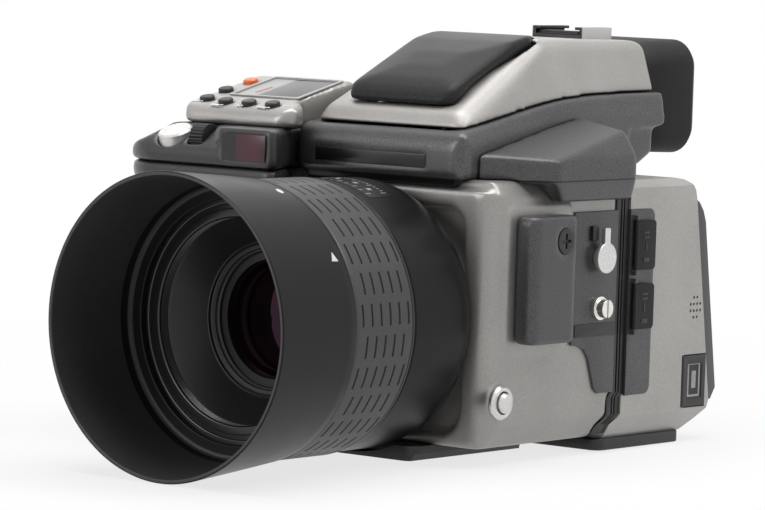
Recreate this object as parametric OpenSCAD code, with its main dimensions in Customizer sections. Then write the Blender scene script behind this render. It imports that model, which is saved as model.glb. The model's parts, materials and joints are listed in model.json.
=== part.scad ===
// Medium format digital reflex camera with a standard lens and its hood.
// Millimetres. Z up, the lens looks along -Y, the hand grip is on -X.
// The origin is the mouth of the tripod socket under the base plate.

/* [Body] */
// height of the lens axis above the underside of the base plate
axis_z = 47.2; // [46:0.1:60]
// left flank of the body, measured from the lens axis
body_left = 46; // [44:0.5:60]
// right flank of the body, measured from the lens axis
body_right = 48.7; // [46:0.1:60]
// distance from the tripod socket forward to the face of the lens mount seat
front_reach = 35; // [33:0.5:45]
// depth of the square recess round the lens mount
bezel = 5; // [4:0.25:6]
// half width of that recess
recess_half = 37; // [36.8:0.1:38.5]
// distance from the tripod socket back to the joint with the digital back
rear_reach = 29.4; // [29:0.1:40]
// width of the sealed joint between the body and the digital back
joint_w = 7.2; // [6:0.2:9]
// height of the flat top that carries the finder and the grip top
top_z = 93; // [92:0.5:110]
// thickness of the coupling plate under the body
plate_t = 5; // [4:0.25:6]
// half width of the coupling plate
plate_half = 26; // [22:0.5:32]
// radius of the body's front right corner
corner_r = 7; // [4:0.5:9]

/* [Lens] */
// radius of the fixed barrel
barrel_r = 44.9; // [44.4:0.1:45.8]
// length of the fixed barrel from the mount to the focus ring
barrel_len = 36.4; // [30:0.2:42]
// length of the focus ring
ring_len = 30.6; // [25:0.2:40]
// thickness of the focus ring with its rubber sleeve
ring_wall = 7.1; // [6.2:0.1:7.4]
// length of the hood
hood_len = 40; // [25:0.5:60]
// growth of the hood radius from its back edge to its front rim
hood_flare = 3.3; // [2:0.1:4.4]

/* [Finder] */
// half width of the finder where it stands on the body
finder_half = 33; // [31:0.5:36]
// height of the finder roof above the body top
roof_h = 45.5; // [44:0.5:52]
// half width of the flash lid
lid_half = 22.3; // [20:0.1:22.6]
// height of the eyecup
eyecup_h = 40; // [34:0.5:44]
// half width of the eyecup
eyecup_half = 26; // [22:0.5:30]

/* [Grip] */
// reach of the grip to the left of the lens axis
grip_reach = 99.5; // [94:0.5:105]
// distance from the tripod socket forward to the front of the grip
grip_front = 64.5; // [60:0.5:70]
// thickness of the grip top
grip_top_h = 13.5; // [12.5:0.5:18]
// slope of the control panel
panel_tilt = 13.3; // [8:0.1:15]
// radius of the small panel buttons
button_r = 2.6; // [2:0.1:3]
// radius of the shutter button
shutter_r = 6; // [4.5:0.1:6.3]
// radius of the two command wheels
wheel_r = 5.4; // [4.6:0.1:5.6]

/* [Digital back] */
// length of the back behind the seal
back_len = 50.4; // [48:0.2:65]
// height of the roof of the back under the body top
back_drop = 1.2; // [0.6:0.1:3]
// thickness of the display cover
cover_swell = 6; // [4.5:0.25:10]
// slope of the display cover
cover_tilt = 9; // [5:0.5:12]
// width of the side connector strip
strip_w = 14; // [13:0.5:18]

/* [Fits] */
// side play of pieces that run in one another
run_fit = 0.08; // [0.03:0.01:0.1]
// free gap kept between pieces that move apart
free_gap = 0.35; // [0.3:0.05:0.5]

/* [Hidden] */

front_y = -front_reach;
face_y = front_y - bezel;
flange_y = front_y - 3;
barrel_y = flange_y - barrel_len;
ring_y = barrel_y - ring_len;
nose_y = ring_y - 4;
hood_y = ring_y - hood_len;
ring_r = barrel_r + 0.7;
tube_r = ring_r - ring_wall;
nose_r = tube_r + 2.3;
filter_r = barrel_r - 11.4;
hood_back_r = barrel_r + 1.3;
hood_front_r = hood_back_r + hood_flare;

seal_y = rear_reach;
back_y = rear_reach + joint_w;
back_end = back_y + back_len;
back_right = body_right + 0.3;
back_left = -body_left - 2;
back_top = top_z - back_drop;
back_low = 14;
cover_z0 = 22;
cover_z1 = 76;
cover_foot = back_end + cover_swell - (cover_z0 - back_low) * tan(cover_tilt);

grip_z = top_z;
grip_top_z = top_z + grip_top_h;
grip_y = -grip_front;
panel_y = grip_y + 12;
panel_z = grip_top_z + 7.3;
panel_y1 = panel_y + 6.5;
panel_end = panel_y + 46.5;
front_wheel_y = grip_y + 8;
front_wheel_z = grip_top_z - wheel_r + 0.9;
rear_wheel_y = 10.5;
rear_wheel_z = grip_top_z - 5.2;

roof_z = top_z + roof_h;
finder_y = front_y - 6;
front_half = finder_half + 3;
finder_end = 78;
seam_z0 = top_z + 15.6;
seam_z1 = top_z + 25;
seam_z2 = top_z + 27.4;
hinge_y = 16;
hinge_z = roof_z - 1;
cup_z = top_z + 25;
eye_z = top_z + 17;

chamber_half = 28;
chamber_z0 = axis_z - 28;
screen_z = top_z - 9;
pin_y = 20;
pin_z = screen_z - 6;
mirror_len = 46;

plate_x = body_right + 0.9;
door_y0 = back_end - 17;
door_y1 = back_end - 2.6;
door_z0 = 12;
door_z1 = 30.5;
door_hinge_y = door_y0 + 1.4;
door_x = back_right - 0.8;
port_y = back_y + 2;

function arc(cx, cy, r, a0, a1, n = 8) =
    [for (i = [0:n]) [cx + r * cos(a0 + (a1 - a0) * i / n), cy + r * sin(a0 + (a1 - a0) * i / n)]];

function rounded(x0, y0, x1, y1, r, n = 6) = concat(
    arc(x1 - r, y0 + r, r, -90, 0, n),
    arc(x1 - r, y1 - r, r, 0, 90, n),
    arc(x0 + r, y1 - r, r, 90, 180, n),
    arc(x0 + r, y0 + r, r, 180, 270, n));

// edge of the joint between body and back in (y, z), set back by d, from the top down
function joint_edge(d) = [[seal_y + d, top_z + 2], [seal_y + d, 20], [seal_y - 2 + d, 18.2],
    [seal_y - 2 + d, 12.6], [seal_y - 6.6 + d, 9], [seal_y - 6.6 + d, 0]];

// line of the seam under the finder shell in (y, z), raised by d
function seam(d) = [[finder_y + 3.6, seam_z0 + d], [-20, seam_z0 + 3 + d], [-4, seam_z0 + 6 + d],
    [8, seam_z1 - 1.4 + d], [18, seam_z1 + 0.1 + d], [28, seam_z2 - 1.4 + d], [40, seam_z2 - 0.7 + d],
    [56, seam_z2 - 0.3 + d], [finder_end + 1, seam_z2 + d]];

function back_face(z) = back_end - (z - back_low) * tan(cover_tilt);

function panel_at(y) = panel_z + (y - panel_y1) * tan(panel_tilt);

module box(x0, x1, y0, y1, z0, z1) {
    translate([x0, y0, z0]) cube([x1 - x0, y1 - y0, z1 - z0]);
}

// profile in (y, z) drawn out along X
module along_x(x0, x1) {
    translate([x0, 0, 0]) rotate([90, 0, 90]) linear_extrude(height = x1 - x0) children();
}

// profile in (x, z) drawn out along Y
module along_y(y0, y1) {
    translate([0, y1, 0]) rotate([90, 0, 0]) linear_extrude(height = y1 - y0) children();
}

module along_z(z0, z1) {
    translate([0, 0, z0]) linear_extrude(height = z1 - z0) children();
}

module rod_x(x0, x1, y, z, r) {
    translate([x0, y, z]) rotate([0, 90, 0]) cylinder(h = x1 - x0, r = r, $fn = 48);
}

module rod_y(y0, y1, x, z, r) {
    translate([x, y0, z]) rotate([-90, 0, 0]) cylinder(h = y1 - y0, r = r, $fn = 64);
}

module rod_z(z0, z1, x, y, r) {
    translate([x, y, z0]) cylinder(h = z1 - z0, r = r, $fn = 48);
}

// profile in (radius, y) turned round the lens axis
module turned(points) {
    translate([0, 0, axis_z]) rotate([-90, 0, 0]) rotate_extrude($fn = 96) polygon(points);
}

// sector of the lens axis between two angles
module sector(a0, a1, y0, y1, r) {
    translate([0, 0, axis_z]) along_y(y0, y1)
        polygon([[0, 0], [r * cos(a0), r * sin(a0)], [r * 1.1 * cos((a0 + a1) / 2),
            r * 1.1 * sin((a0 + a1) / 2)], [r * cos(a1), r * sin(a1)]]);
}

module on_panel(x, y) {
    translate([x, y, panel_at(y)]) rotate([panel_tilt, 0, 0]) children();
}

module on_cover(x, s) {
    translate([x, cover_foot - s * sin(cover_tilt), cover_z0 + s * cos(cover_tilt)])
        rotate([cover_tilt - 90, 0, 0]) children();
}

module base_plate() {
    color([0.08, 0.08, 0.085]) difference() {
        along_z(0, plate_t) polygon(rounded(-plate_half, front_y - 14, plate_half, 12.5, 5));
        rod_z(-1, plate_t + 1, 0, 0, 3.175);
        rod_z(-1, plate_t + 1, 0, -20, 4.7625);
        rod_y(front_y - 15, face_y - 0.4, 0, axis_z, barrel_r + 1);
        along_y(front_y - 15, 14) polygon([[plate_half - 2.4, -1], [plate_half + 1, -1],
            [plate_half + 1, 2.4], [plate_half - 0.8, 2.4]]);
        along_y(front_y - 15, 14) polygon([[-plate_half + 2.4, -1], [-plate_half - 1, -1],
            [-plate_half - 1, 2.4], [-plate_half + 0.8, 2.4]]);
    }
}

module rear_foot() {
    color([0.1, 0.1, 0.105]) difference() {
        along_z(0, 4) polygon(rounded(back_left + 4, seal_y - 3, back_right - 3, back_end - 11.5, 4));
        box(back_left + 12, back_right - 11, back_y + 6, back_end - 20, -1, 1.2);
    }
}

module body_solid() {
    intersection() {
        along_z(plate_t, top_z) polygon(concat(
            [[-body_left, seal_y + 1], [-body_left, face_y]],
            arc(body_right - corner_r, face_y + corner_r, corner_r, -90, 0, 10),
            [[body_right, seal_y + 1]]));
        along_y(face_y - 1, seal_y + 2) polygon([[-body_left, plate_t], [body_right - 3.6, plate_t],
            [body_right, plate_t + 7.2], [body_right, top_z - 5], [body_right - 3.4, top_z],
            [-body_left, top_z]]);
        along_x(-body_left - 1, body_right + 1) polygon(concat([[face_y - 2, 0], [face_y - 2, top_z + 2]],
            joint_edge(0)));
    }
}

module body_shell() {
    color([0.66, 0.64, 0.62]) difference() {
        union() {
            body_solid();
            along_x(body_right - 1, body_right + 1.1) polygon(rounded(front_y + 2.6, 36.6, front_y + 38,
                top_z - 8, 3.4));
            rod_x(body_right - 9, body_right + 0.6, face_y + 6.4, 20.8, 6);
        }
        box(-body_left - 1, body_right + 1, face_y - 1, face_y + 4, top_z - 3.2, top_z + 1);
        along_y(face_y - 1, front_y) polygon(rounded(-recess_half, 9, recess_half, top_z - 8.6, 8));
        box(-chamber_half, chamber_half, front_y + 5.5, seal_y - 4.4, chamber_z0, screen_z - 2);
        rod_y(front_y - 1, front_y + 6, 0, axis_z, 34.6);
        box(-24.5, 24.5, seal_y - 5, seal_y + 1, axis_z - 18.5, axis_z + 18.5);
        box(-chamber_half + 3, chamber_half - 3, front_y + 10, pin_y - 2, screen_z - 3, screen_z + 1);
        box(-chamber_half, chamber_half, front_y + 7, pin_y + 2, screen_z, top_z + 1);
        rod_x(body_right - 7, body_right + 2, face_y + 6.4, 20.8, 3.4 + run_fit);
    }
}

module lens_mount_ring() {
    color([0.75, 0.75, 0.76]) difference() {
        turned([[31, flange_y], [36.4, flange_y], [36.4, front_y], [31, front_y]]);
        for (a = [0:90:270])
            intersection() {
                turned([[30, flange_y - 1], [34.2, flange_y - 1], [34.2, front_y + 1], [30, front_y + 1]]);
                sector(a + 45 - 22, a + 45 + 22, flange_y - 2, front_y + 2, 40);
            }
        for (a = [0:90:270])
            rod_y(flange_y - 1, flange_y + 1.2, 34 * cos(a), axis_z + 34 * sin(a), 1.3);
    }
}

module focusing_screen() {
    color([0.85, 0.88, 0.9]) box(-chamber_half + 0.2, chamber_half - 0.2, front_y + 7.2, pin_y + 1.8,
        screen_z, screen_z + 2);
}

module mirror_pin() {
    color([0.7, 0.7, 0.72]) rod_x(-chamber_half, chamber_half, pin_y, pin_z, 1);
}

module reflex_mirror() {
    color([0.8, 0.82, 0.85]) difference() {
        translate([0, pin_y, pin_z]) rotate([45, 0, 0]) union() {
            box(-25, 25, -mirror_len, 0, -0.9, 0.9);
            rod_x(-25, 25, 0, 0, 2);
        }
        rod_x(-27, 27, pin_y, pin_z, 1 + run_fit);
    }
}

module side_plate() {
    color([0.27, 0.27, 0.28]) along_x(body_right, plate_x) polygon([[seal_y - 0.4, 20.4], [seal_y - 0.4, 82],
        [seal_y - 25, 82], [seal_y - 25, 37.4], [seal_y - 21.6, 37.2], [seal_y - 17.6, 35.6],
        [seal_y - 15, 32.4], [seal_y - 11.2, 22], [seal_y - 9, 20.4]]);
}

module accessory_block() {
    color([0.25, 0.25, 0.26]) difference() {
        intersection() {
            along_x(body_right + 1.1, body_right + 9.3) polygon(rounded(front_y + 6, 39.6, front_y + 32, 82,
                2.4));
            along_z(38, 84) polygon([[body_right, front_y + 6], [body_right + 7.6, front_y + 6],
                [body_right + 9.3, front_y + 8.4], [body_right + 9.3, front_y + 29],
                [body_right + 6.2, front_y + 32], [body_right, front_y + 32]]);
        }
        rod_x(body_right + 7.8, body_right + 10, front_y + 23.8, 73.5, 4.5);
    }
}

module accessory_screw() {
    color([0.2, 0.2, 0.21]) difference() {
        rod_x(body_right + 7.8, body_right + 9, front_y + 23.8, 73.5, 4.2);
        box(body_right + 8.2, body_right + 10, front_y + 23.3, front_y + 24.3, 71, 76);
        box(body_right + 8.2, body_right + 10, front_y + 21.3, front_y + 26.3, 73, 74);
    }
}

module strap_lug() {
    rod_x(0, 2.2, 0, 0, 3.4);
    rod_x(2.2, 3.9, 0, 0, 5.2);
    along_x(2.2, 3.9) polygon(rounded(-1.5, 3, 1.5, 10.1, 0.6));
}

module strap_lugs() {
    color([0.8, 0.8, 0.81]) {
        translate([plate_x, seal_y - 11.4, 66.5]) strap_lug();
        translate([-body_left, seal_y - 11.4, 66.5]) mirror([1, 0, 0]) strap_lug();
    }
}

module sync_socket() {
    color([0.78, 0.78, 0.79]) difference() {
        union() {
            rod_x(plate_x, plate_x + 1.6, seal_y - 10.9, 49.4, 4);
            rod_x(plate_x + 1.6, plate_x + 4.4, seal_y - 10.9, 49.4, 3.1);
        }
        box(plate_x + 3.4, plate_x + 5, seal_y - 11.3, seal_y - 10.5, 45, 54);
    }
}

module release_collar() {
    color([0.8, 0.8, 0.81]) translate([body_right + 0.6, face_y + 6.4, 20.8]) rotate([0, 90, 0])
        rotate_extrude($fn = 64) polygon([[3.9, 0], [5.7, 0], [5.7, 0.8], [5, 1.6], [3.9, 1.6]]);
}

module lens_release_button() {
    color([0.86, 0.86, 0.87]) translate([body_right - 4.8, face_y + 6.4, 20.8]) rotate([0, 90, 0])
        rotate_extrude($fn = 64) polygon([[0, 0], [3.4, 0], [3.4, 7.8], [2.8, 8.6], [1.5, 9], [0, 9.1]]);
}

module shoulder_plan(g) {
    polygon([[finder_half, front_y + 2 + g], [finder_half + 3 - g, front_y + 2.4 + g],
        [body_right + 7.2 - g, front_y + 20.6 + g], [body_right + 7.2 - g, seal_y + 0.6],
        [body_right + 4, seal_y + 2.4 - g], [finder_half, seal_y + 2.4 - g]]);
}

module shoulder_cover() {
    color([0.3, 0.3, 0.31]) difference() {
        intersection() {
            along_z(80, 120) shoulder_plan(0);
            along_y(front_y - 5, seal_y + 5) polygon([[finder_half, top_z], [body_right - 3.4, top_z],
                [body_right, top_z - 5], [body_right, top_z - 7.2], [body_right + 4.4, top_z - 7.2],
                [body_right + 7.2, top_z - 0.4], [body_right + 7.2, top_z + 7.2],
                [body_right + 2.4, top_z + 16.4], [body_right - 4, top_z + 24], [finder_half, top_z + 24]]);
            along_x(finder_half - 1, body_right + 9) polygon([[front_y, top_z - 0.9],
                [front_y + 20.6, top_z - 0.9], [front_y + 27, top_z - 8], [seal_y + 3, top_z - 8],
                [seal_y + 3, top_z + 1], [seal_y - 0.6, top_z + 16.2], [seal_y - 4, top_z + 24],
                [front_y, top_z + 24]]);
        }
        finder_solid();
        translate([finder_half, front_y + 2, top_z + 8.8]) rotate([10.3, 13.1, 0])
            box(-60, 60, -30, 120, 0, 50);
        along_z(top_z - 0.3, top_z + 0.1) difference() {
            square([200, 200], center = true);
            shoulder_plan(0.4);
        }
    }
}

module finder_solid() {
    intersection() {
        along_z(top_z, seam_z2 + 1) polygon(concat(
            arc(front_half - 5, finder_y + 5, 5, -90, 0, 6), [[finder_half, 12], [finder_half, finder_end],
            [-finder_half, finder_end], [-finder_half, 12]],
            arc(-front_half + 5, finder_y + 5, 5, 180, 270, 6)));
        along_x(-front_half, front_half) polygon(concat([[finder_end - 12, top_z + 2.4],
            [finder_end - 20, top_z], [finder_y + 1.4, top_z], [finder_y, top_z + 1.4], [finder_y, top_z + 10],
            [finder_y + 0.8, top_z + 13], [finder_y + 2, top_z + 14.6]], seam(0),
            [[finder_end, seam_z2], [finder_end, top_z + 16], [finder_end - 4.4, top_z + 15.4],
            [finder_end - 4.4, top_z + 6.4]]));
        along_y(finder_y - 1, finder_end + 1) polygon([[-front_half, top_z], [front_half, top_z],
            [front_half, top_z + 12], [front_half - 1, top_z + 14], [finder_half, top_z + 19],
            [finder_half - 1.6, seam_z2 + 1], [-finder_half + 1.6, seam_z2 + 1], [-finder_half, top_z + 19],
            [-front_half + 1, top_z + 14], [-front_half, top_z + 12]]);
    }
}

module finder_base() {
    color([0.27, 0.27, 0.28]) difference() {
        union() {
            finder_solid();
            box(-finder_half + 1, finder_half - 1, face_y + 1.2, face_y + 4, top_z - 3.2, top_z + 1);
        }
        box(-27, 27, finder_y + 6, 60, top_z + 2, seam_z2 + 5);
        box(-20, 20, finder_y + 14, 22, top_z - 1, top_z + 3);
        rod_y(55, finder_end + 1, 0, eye_z, 8);
        box(-26.3, 20.9, finder_y - 1, finder_y + 0.7, top_z + 3, top_z + 8);
        for (s = [-1, 1])
            along_x(s * finder_half - 2, s * finder_half + 2) polygon([[57, top_z - 1], [57, top_z + 14.4],
                [finder_end + 1, top_z + 16], [finder_end + 1, top_z - 1]]);
    }
}

module shell_form(inset) {
    hull() {
        for (s = [-1, 1]) {
            translate([s * (finder_half - 4.8), finder_y + 8.8, seam_z0 - 3]) sphere(r = 5 - inset, $fn = 32);
            translate([s * (finder_half - 7), finder_y + 11.6, seam_z0 + 2.2]) sphere(r = 5 - inset, $fn = 32);
            translate([s * (finder_half - 10.8), -5, roof_z - 18.6]) sphere(r = 7.4 - inset, $fn = 40);
            translate([s * 21, hinge_y, roof_z - 5]) sphere(r = 5 - inset, $fn = 32);
            translate([s * 21, finder_end - 6, roof_z - 5.6]) sphere(r = 5 - inset, $fn = 32);
            translate([s * (finder_half - 7), finder_end - 6, seam_z2 - 3]) sphere(r = 5 - inset, $fn = 32);
            translate([s * (finder_half - 6.6), 20, seam_z1 - 3]) sphere(r = 5 - inset, $fn = 32);
        }
    }
}

module below_seam(lift) {
    along_x(-60, 60) polygon(concat([[120, top_z - 5], [-90, top_z - 5], [finder_y - 40, seam_z0 - 6 + lift]],
        seam(lift), [[120, seam_z2 + lift]]));
}

// side view of the flash lid, let out by g all round its underside
function lid_top() = [[hinge_y, hinge_z + 2.4], [10.6, roof_z + 0.5], [4, roof_z - 1], [-8, roof_z - 5],
    [-18, roof_z - 9.4], [-25, roof_z - 13.4], [-29, roof_z - 16.6], [-31.2, roof_z - 19.4],
    [-31.6, roof_z - 20.6]];
function lid_under(g) = [[-31.6, roof_z - 22.4 - g], [-26, roof_z - 21.6 - g], [-18, roof_z - 15.8 - g],
    [-8, roof_z - 11 - g], [5, roof_z - 6.4 - g], [hinge_y, hinge_z - 2.4 - g]];

module lid_outline(g) {
    along_z(top_z, roof_z + 40) polygon(concat(
        arc(lid_half - 5 + g, -26.6 - g, 5, -90, 0, 6), [[lid_half - 0.8 + g, hinge_y + 4],
        [-lid_half + 0.8 - g, hinge_y + 4]], arc(-lid_half + 5 - g, -26.6 - g, 5, 180, 270, 6)));
}

module flash_lid() {
    color([0.22, 0.22, 0.23]) difference() {
        union() {
            intersection() {
                union() {
                    along_x(-lid_half, lid_half) polygon(concat(lid_top(), lid_under(0)));
                    rod_x(-lid_half + 0.8, lid_half - 0.8, hinge_y, hinge_z, 2.4);
                }
                lid_outline(0);
                translate([0, -31.6, roof_z - 20.6]) rotate([24.8, 0, 0]) along_y(-20, 90)
                    translate([0, 4.7 - 120]) circle(r = 120, $fn = 200);
            }
            box(-15, 15, -18, -9, roof_z - 25, roof_z - 12.6);
        }
        rod_x(-lid_half - 1, lid_half + 1, hinge_y, hinge_z, 0.9 + run_fit);
    }
}

module flash_window() {
    color([0.9, 0.9, 0.88]) box(-14, 14, -19.4, -18, roof_z - 24.6, roof_z - 18);
}

module flash_pin() {
    color([0.7, 0.7, 0.72]) rod_x(-lid_half - free_gap, lid_half + free_gap, hinge_y, hinge_z, 0.9);
}

module finder_shell() {
    color([0.67, 0.65, 0.63]) difference() {
        union() {
            difference() {
                shell_form(0);
                shell_form(2.6);
            }
            intersection() {
                shell_form(0);
                union() {
                    box(lid_half + free_gap, lid_half + 3, hinge_y - 4, hinge_y + 4, roof_z - 12, roof_z);
                    box(-lid_half - 3, -lid_half - free_gap, hinge_y - 4, hinge_y + 4, roof_z - 12, roof_z);
                    box(-26, 26, hinge_y + 3.2, hinge_y + 6, roof_z - 12, roof_z);
                }
            }
        }
        below_seam(0);
        intersection() {
            union() {
                along_x(-60, 60) polygon(concat([[hinge_y, roof_z + 20], [-60, roof_z + 20],
                    [-60, roof_z - 22.4 - free_gap]], lid_under(free_gap)));
                rod_x(-60, 60, hinge_y, hinge_z, 2.4 + free_gap);
            }
            box(-lid_half - free_gap, lid_half + free_gap, -60, hinge_y + 6, top_z, roof_z + 30);
        }
        box(-15.5, 15.5, -26, -8.5, roof_z - 30, roof_z);
        box(-11, 11, finder_end - 20.5, finder_end - 3.5, roof_z - 0.9, roof_z + 5);
    }
}

module prism() {
    color([0.75, 0.82, 0.86]) along_x(-23, 23) polygon([[-18, top_z + 2], [26, top_z + 2],
        [26, top_z + 19], [12, top_z + 25], [-18, top_z + 9]]);
}

module cup_slice(y, half, h, r) {
    translate([0, y, 0]) along_y(0, 0.4) polygon(rounded(-half, cup_z - h / 2, half, cup_z + h / 2, r, 8));
}

module eyecup() {
    color([0.13, 0.13, 0.14]) difference() {
        union() {
            hull() {
                cup_slice(finder_end, eyecup_half - 4, eyecup_h - 5, 9);
                cup_slice(finder_end + 9, eyecup_half - 0.6, eyecup_h - 1, 9);
                cup_slice(finder_end + 25, eyecup_half, eyecup_h, 9);
                cup_slice(finder_end + 28, eyecup_half - 1.6, eyecup_h - 3.2, 8);
            }
            along_x(-eyecup_half + 5, eyecup_half - 5) polygon([[finder_end - 0.7, seam_z2 + 0.6],
                [finder_end + 1, seam_z2 + 0.6], [finder_end + 1, cup_z + eyecup_h / 2 - 5],
                [finder_end - 0.7, cup_z + eyecup_h / 2 - 6]]);
        }
        rod_y(finder_end - 1, finder_end + 10, 0, eye_z, 8);
        hull() {
            cup_slice(finder_end + 8, eyecup_half - 12, eyecup_h - 8, 6);
            cup_slice(finder_end + 28.4, eyecup_half - 5, eyecup_h - 9, 7);
        }
    }
}

module eyepiece_lens() {
    color([0.7, 0.75, 0.8]) translate([0, finder_end + 1.5, eye_z]) rotate([-90, 0, 0])
        rotate_extrude($fn = 64) polygon([[0, 0], [7.9, 0], [7.9, 1.4], [6.3, 2.1], [3.4, 2.6], [0, 2.8]]);
}

module hot_shoe() {
    color([0.7, 0.7, 0.71]) along_y(finder_end - 20.5, finder_end - 3.5) polygon([[-11, roof_z - 0.9], [11, roof_z - 0.9],
        [11, roof_z + 3.4], [7.4, roof_z + 3.4], [7.4, roof_z + 2.4], [9.4, roof_z + 2.4],
        [9.4, roof_z + 0.7], [-9.4, roof_z + 0.7], [-9.4, roof_z + 2.4], [-7.4, roof_z + 2.4],
        [-7.4, roof_z + 3.4], [-11, roof_z + 3.4]]);
}

module grip_plan() {
    polygon(concat(
        arc(-grip_reach + 22, grip_y + 22, 22, 180, 270, 12),
        arc(-28.4, grip_y + 3.6, 3.6, -90, -10, 6),
        [[-front_half - 0.4, finder_y], [-front_half, finder_y + 5], [-finder_half, 12]],
        arc(-grip_reach + 20, -6, 20, 100, 180, 10)));
}

module grip_top() {
    color([0.2, 0.2, 0.21]) difference() {
        along_z(grip_z, grip_top_z) grip_plan();
        along_x(-grip_reach - 3, -50) polygon([[grip_y - 2, grip_top_z + 2], [grip_y - 2, grip_top_z - 9.4],
            [grip_y, grip_top_z - 8.4], [grip_y + 3, grip_top_z - 5.2], [grip_y + 9.6, grip_top_z - 0.6],
            [grip_y + 12, grip_top_z + 2]]);
        along_y(grip_y - 2, 20) polygon([[-grip_reach - 2, grip_top_z + 2], [-grip_reach - 2, grip_top_z - 10.4],
            [-grip_reach + 2, grip_top_z - 9], [-grip_reach + 14, grip_top_z - 5.8],
            [-79, grip_top_z - 0.6], [-78, grip_top_z + 2]]);
        translate([-73, grip_y + 6, grip_top_z - 3.9]) rotate([22, 0, 0])
            rod_z(-5, 6, 0, 0, shutter_r + run_fit);
        box(-65.2, -58.8, front_wheel_y - wheel_r - 0.4, front_wheel_y + wheel_r + 0.4,
            front_wheel_z - wheel_r - 0.1, grip_top_z + 1);
        rod_x(-66.1, -57.9, front_wheel_y, front_wheel_z, 1.2 + run_fit);
        box(-73.2, -66.8, rear_wheel_y - wheel_r - 0.4, 20, rear_wheel_z - wheel_r - 0.1, grip_top_z + 1);
        rod_x(-74.1, -65.9, rear_wheel_y, rear_wheel_z, 1.2 + run_fit);
        box(-47.6, -28.3, grip_y - 1, grip_y + 1.2, grip_z + 2.4, grip_z + 11.6);
    }
}

module lamp_window() {
    color([0.35, 0.06, 0.1]) box(-47.5, -28.4, grip_y, grip_y + 1.2, grip_z + 2.5, grip_z + 11.5);
}

module shutter_button() {
    color([0.82, 0.82, 0.83]) translate([-73, grip_y + 6, grip_top_z - 3.9]) rotate([22, 0, 0])
        rotate_extrude($fn = 64) polygon([[0, -2.8], [shutter_r, -2.8], [shutter_r, 1.1],
            [shutter_r - 0.6, 1.7], [0, 1.5]]);
}

module wheel(x, y, z) {
    difference() {
        union() {
            rod_x(x - 2.9, x + 2.9, y, z, wheel_r - 0.3);
            rod_x(x - 3.9, x + 3.9, y, z, 1.2);
        }
        for (a = [0:15:345])
            translate([x, y, z]) rotate([a, 0, 0]) box(-4, 4, -0.35, 0.35, wheel_r - 0.8, wheel_r + 1);
    }
}

module front_wheel() {
    color([0.1, 0.1, 0.105]) wheel(-62, front_wheel_y, front_wheel_z);
}

module rear_wheel() {
    color([0.1, 0.1, 0.105]) wheel(-70, rear_wheel_y, rear_wheel_z);
}

module battery_grip() {
    color([0.17, 0.17, 0.18]) union() {
        grip_handle();
        along_z(grip_z - 5, grip_z) difference() {
            offset(delta = -0.5) grip_plan();
            translate([-body_left, face_y]) square([100, 100]);
            translate([-body_left - 30, 8]) square([100, 100]);
        }
    }
}

module grip_handle() {
    difference() {
        along_z(plate_t, grip_z) polygon(concat(
            arc(-grip_reach + 20, grip_y + 22, 19, 180, 270, 12),
            arc(-66, grip_y + 9, 6, -90, 0, 6),
            [[-60, front_y - 8], [-body_left - 8, front_y], [-body_left, front_y], [-body_left, 8]],
            arc(-grip_reach + 20, -9, 19, 90, 180, 10)));
        along_y(grip_y - 5, 20) polygon([[-grip_reach - 2, plate_t - 1], [-grip_reach + 7, plate_t - 1],
            [-grip_reach + 2.4, plate_t + 9], [-grip_reach + 0.8, plate_t + 40], [-grip_reach - 2, 60]]);
        along_x(-grip_reach - 2, -58) polygon([[grip_y - 2, plate_t - 1], [grip_y + 12, plate_t - 1],
            [grip_y + 9, plate_t + 30], [grip_y + 4.4, grip_z - 30], [grip_y + 3, grip_z - 8],
            [grip_y - 2, grip_z - 6]]);
    }
}

module panel_solid() {
    intersection() {
        along_x(-78, -20) polygon([[panel_y, grip_top_z], [panel_end + 5, grip_top_z],
            [panel_end + 2, panel_at(panel_end) - 7], [panel_end - 2, panel_at(panel_end) - 2.6],
            [panel_end - 6, panel_at(panel_end - 6)], [panel_y1 - 2.4, panel_at(panel_y1 - 2.4)],
            [panel_y1 - 4.2, panel_at(panel_y1 - 2.4) - 1], [panel_y + 0.8, grip_top_z + 4]]);
        along_y(panel_y - 2, panel_end + 8) polygon([[-77.5, grip_top_z], [-26, grip_top_z],
            [-26.4, grip_top_z + 2.4], [-28.4, grip_top_z + 5.4], [-33, grip_top_z + 8.4],
            [-36, grip_top_z + 30], [-76.4, grip_top_z + 30], [-77.5, grip_top_z + 8]]);
        along_z(grip_top_z, grip_top_z + 30) polygon(concat(
            arc(-71.5, panel_y + 6, 6, 180, 270, 6), arc(-37, panel_y + 8, 8, -90, -15, 6),
            [[-31, finder_y - 0.5], [-front_half + 1.4, finder_y + 0.6], [-front_half - 0.5, finder_y + 5],
            [-finder_half - 1.4, panel_end + 6]],
            arc(-69.5, panel_end - 3, 8, 90, 180, 6)));
    }
}

module panel_hole(x, y) {
    on_panel(x, y) rod_z(-3.6, 4, 0, 0, button_r + run_fit);
}

module control_panel() {
    color([0.68, 0.66, 0.64]) difference() {
        panel_solid();
        for (p = [[-72, panel_y1 + 2], [-73.2, panel_y1 + 13], [-72.4, panel_y1 + 25],
            [-62, panel_y1], [-51.6, panel_y1], [-41.2, panel_y1]])
            panel_hole(p[0], p[1]);
        on_panel(-52.5, panel_y1 + 20.5) box(-14.5, 14.5, -11.8, 11.8, -1.6, 5);
        rod_x(-65.4, -58.6, front_wheel_y, front_wheel_z, wheel_r + 0.5);
        translate([-73, grip_y + 6, grip_top_z - 3.9]) rotate([22, 0, 0]) rod_z(-5, 8, 0, 0, shutter_r + 0.4);
    }
}

module panel_window() {
    color([0.1, 0.12, 0.11]) on_panel(-52.5, panel_y1 + 20.5) box(-14.4, 14.4, -11.7, 11.7, -1.6, 0.2);
}

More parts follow.
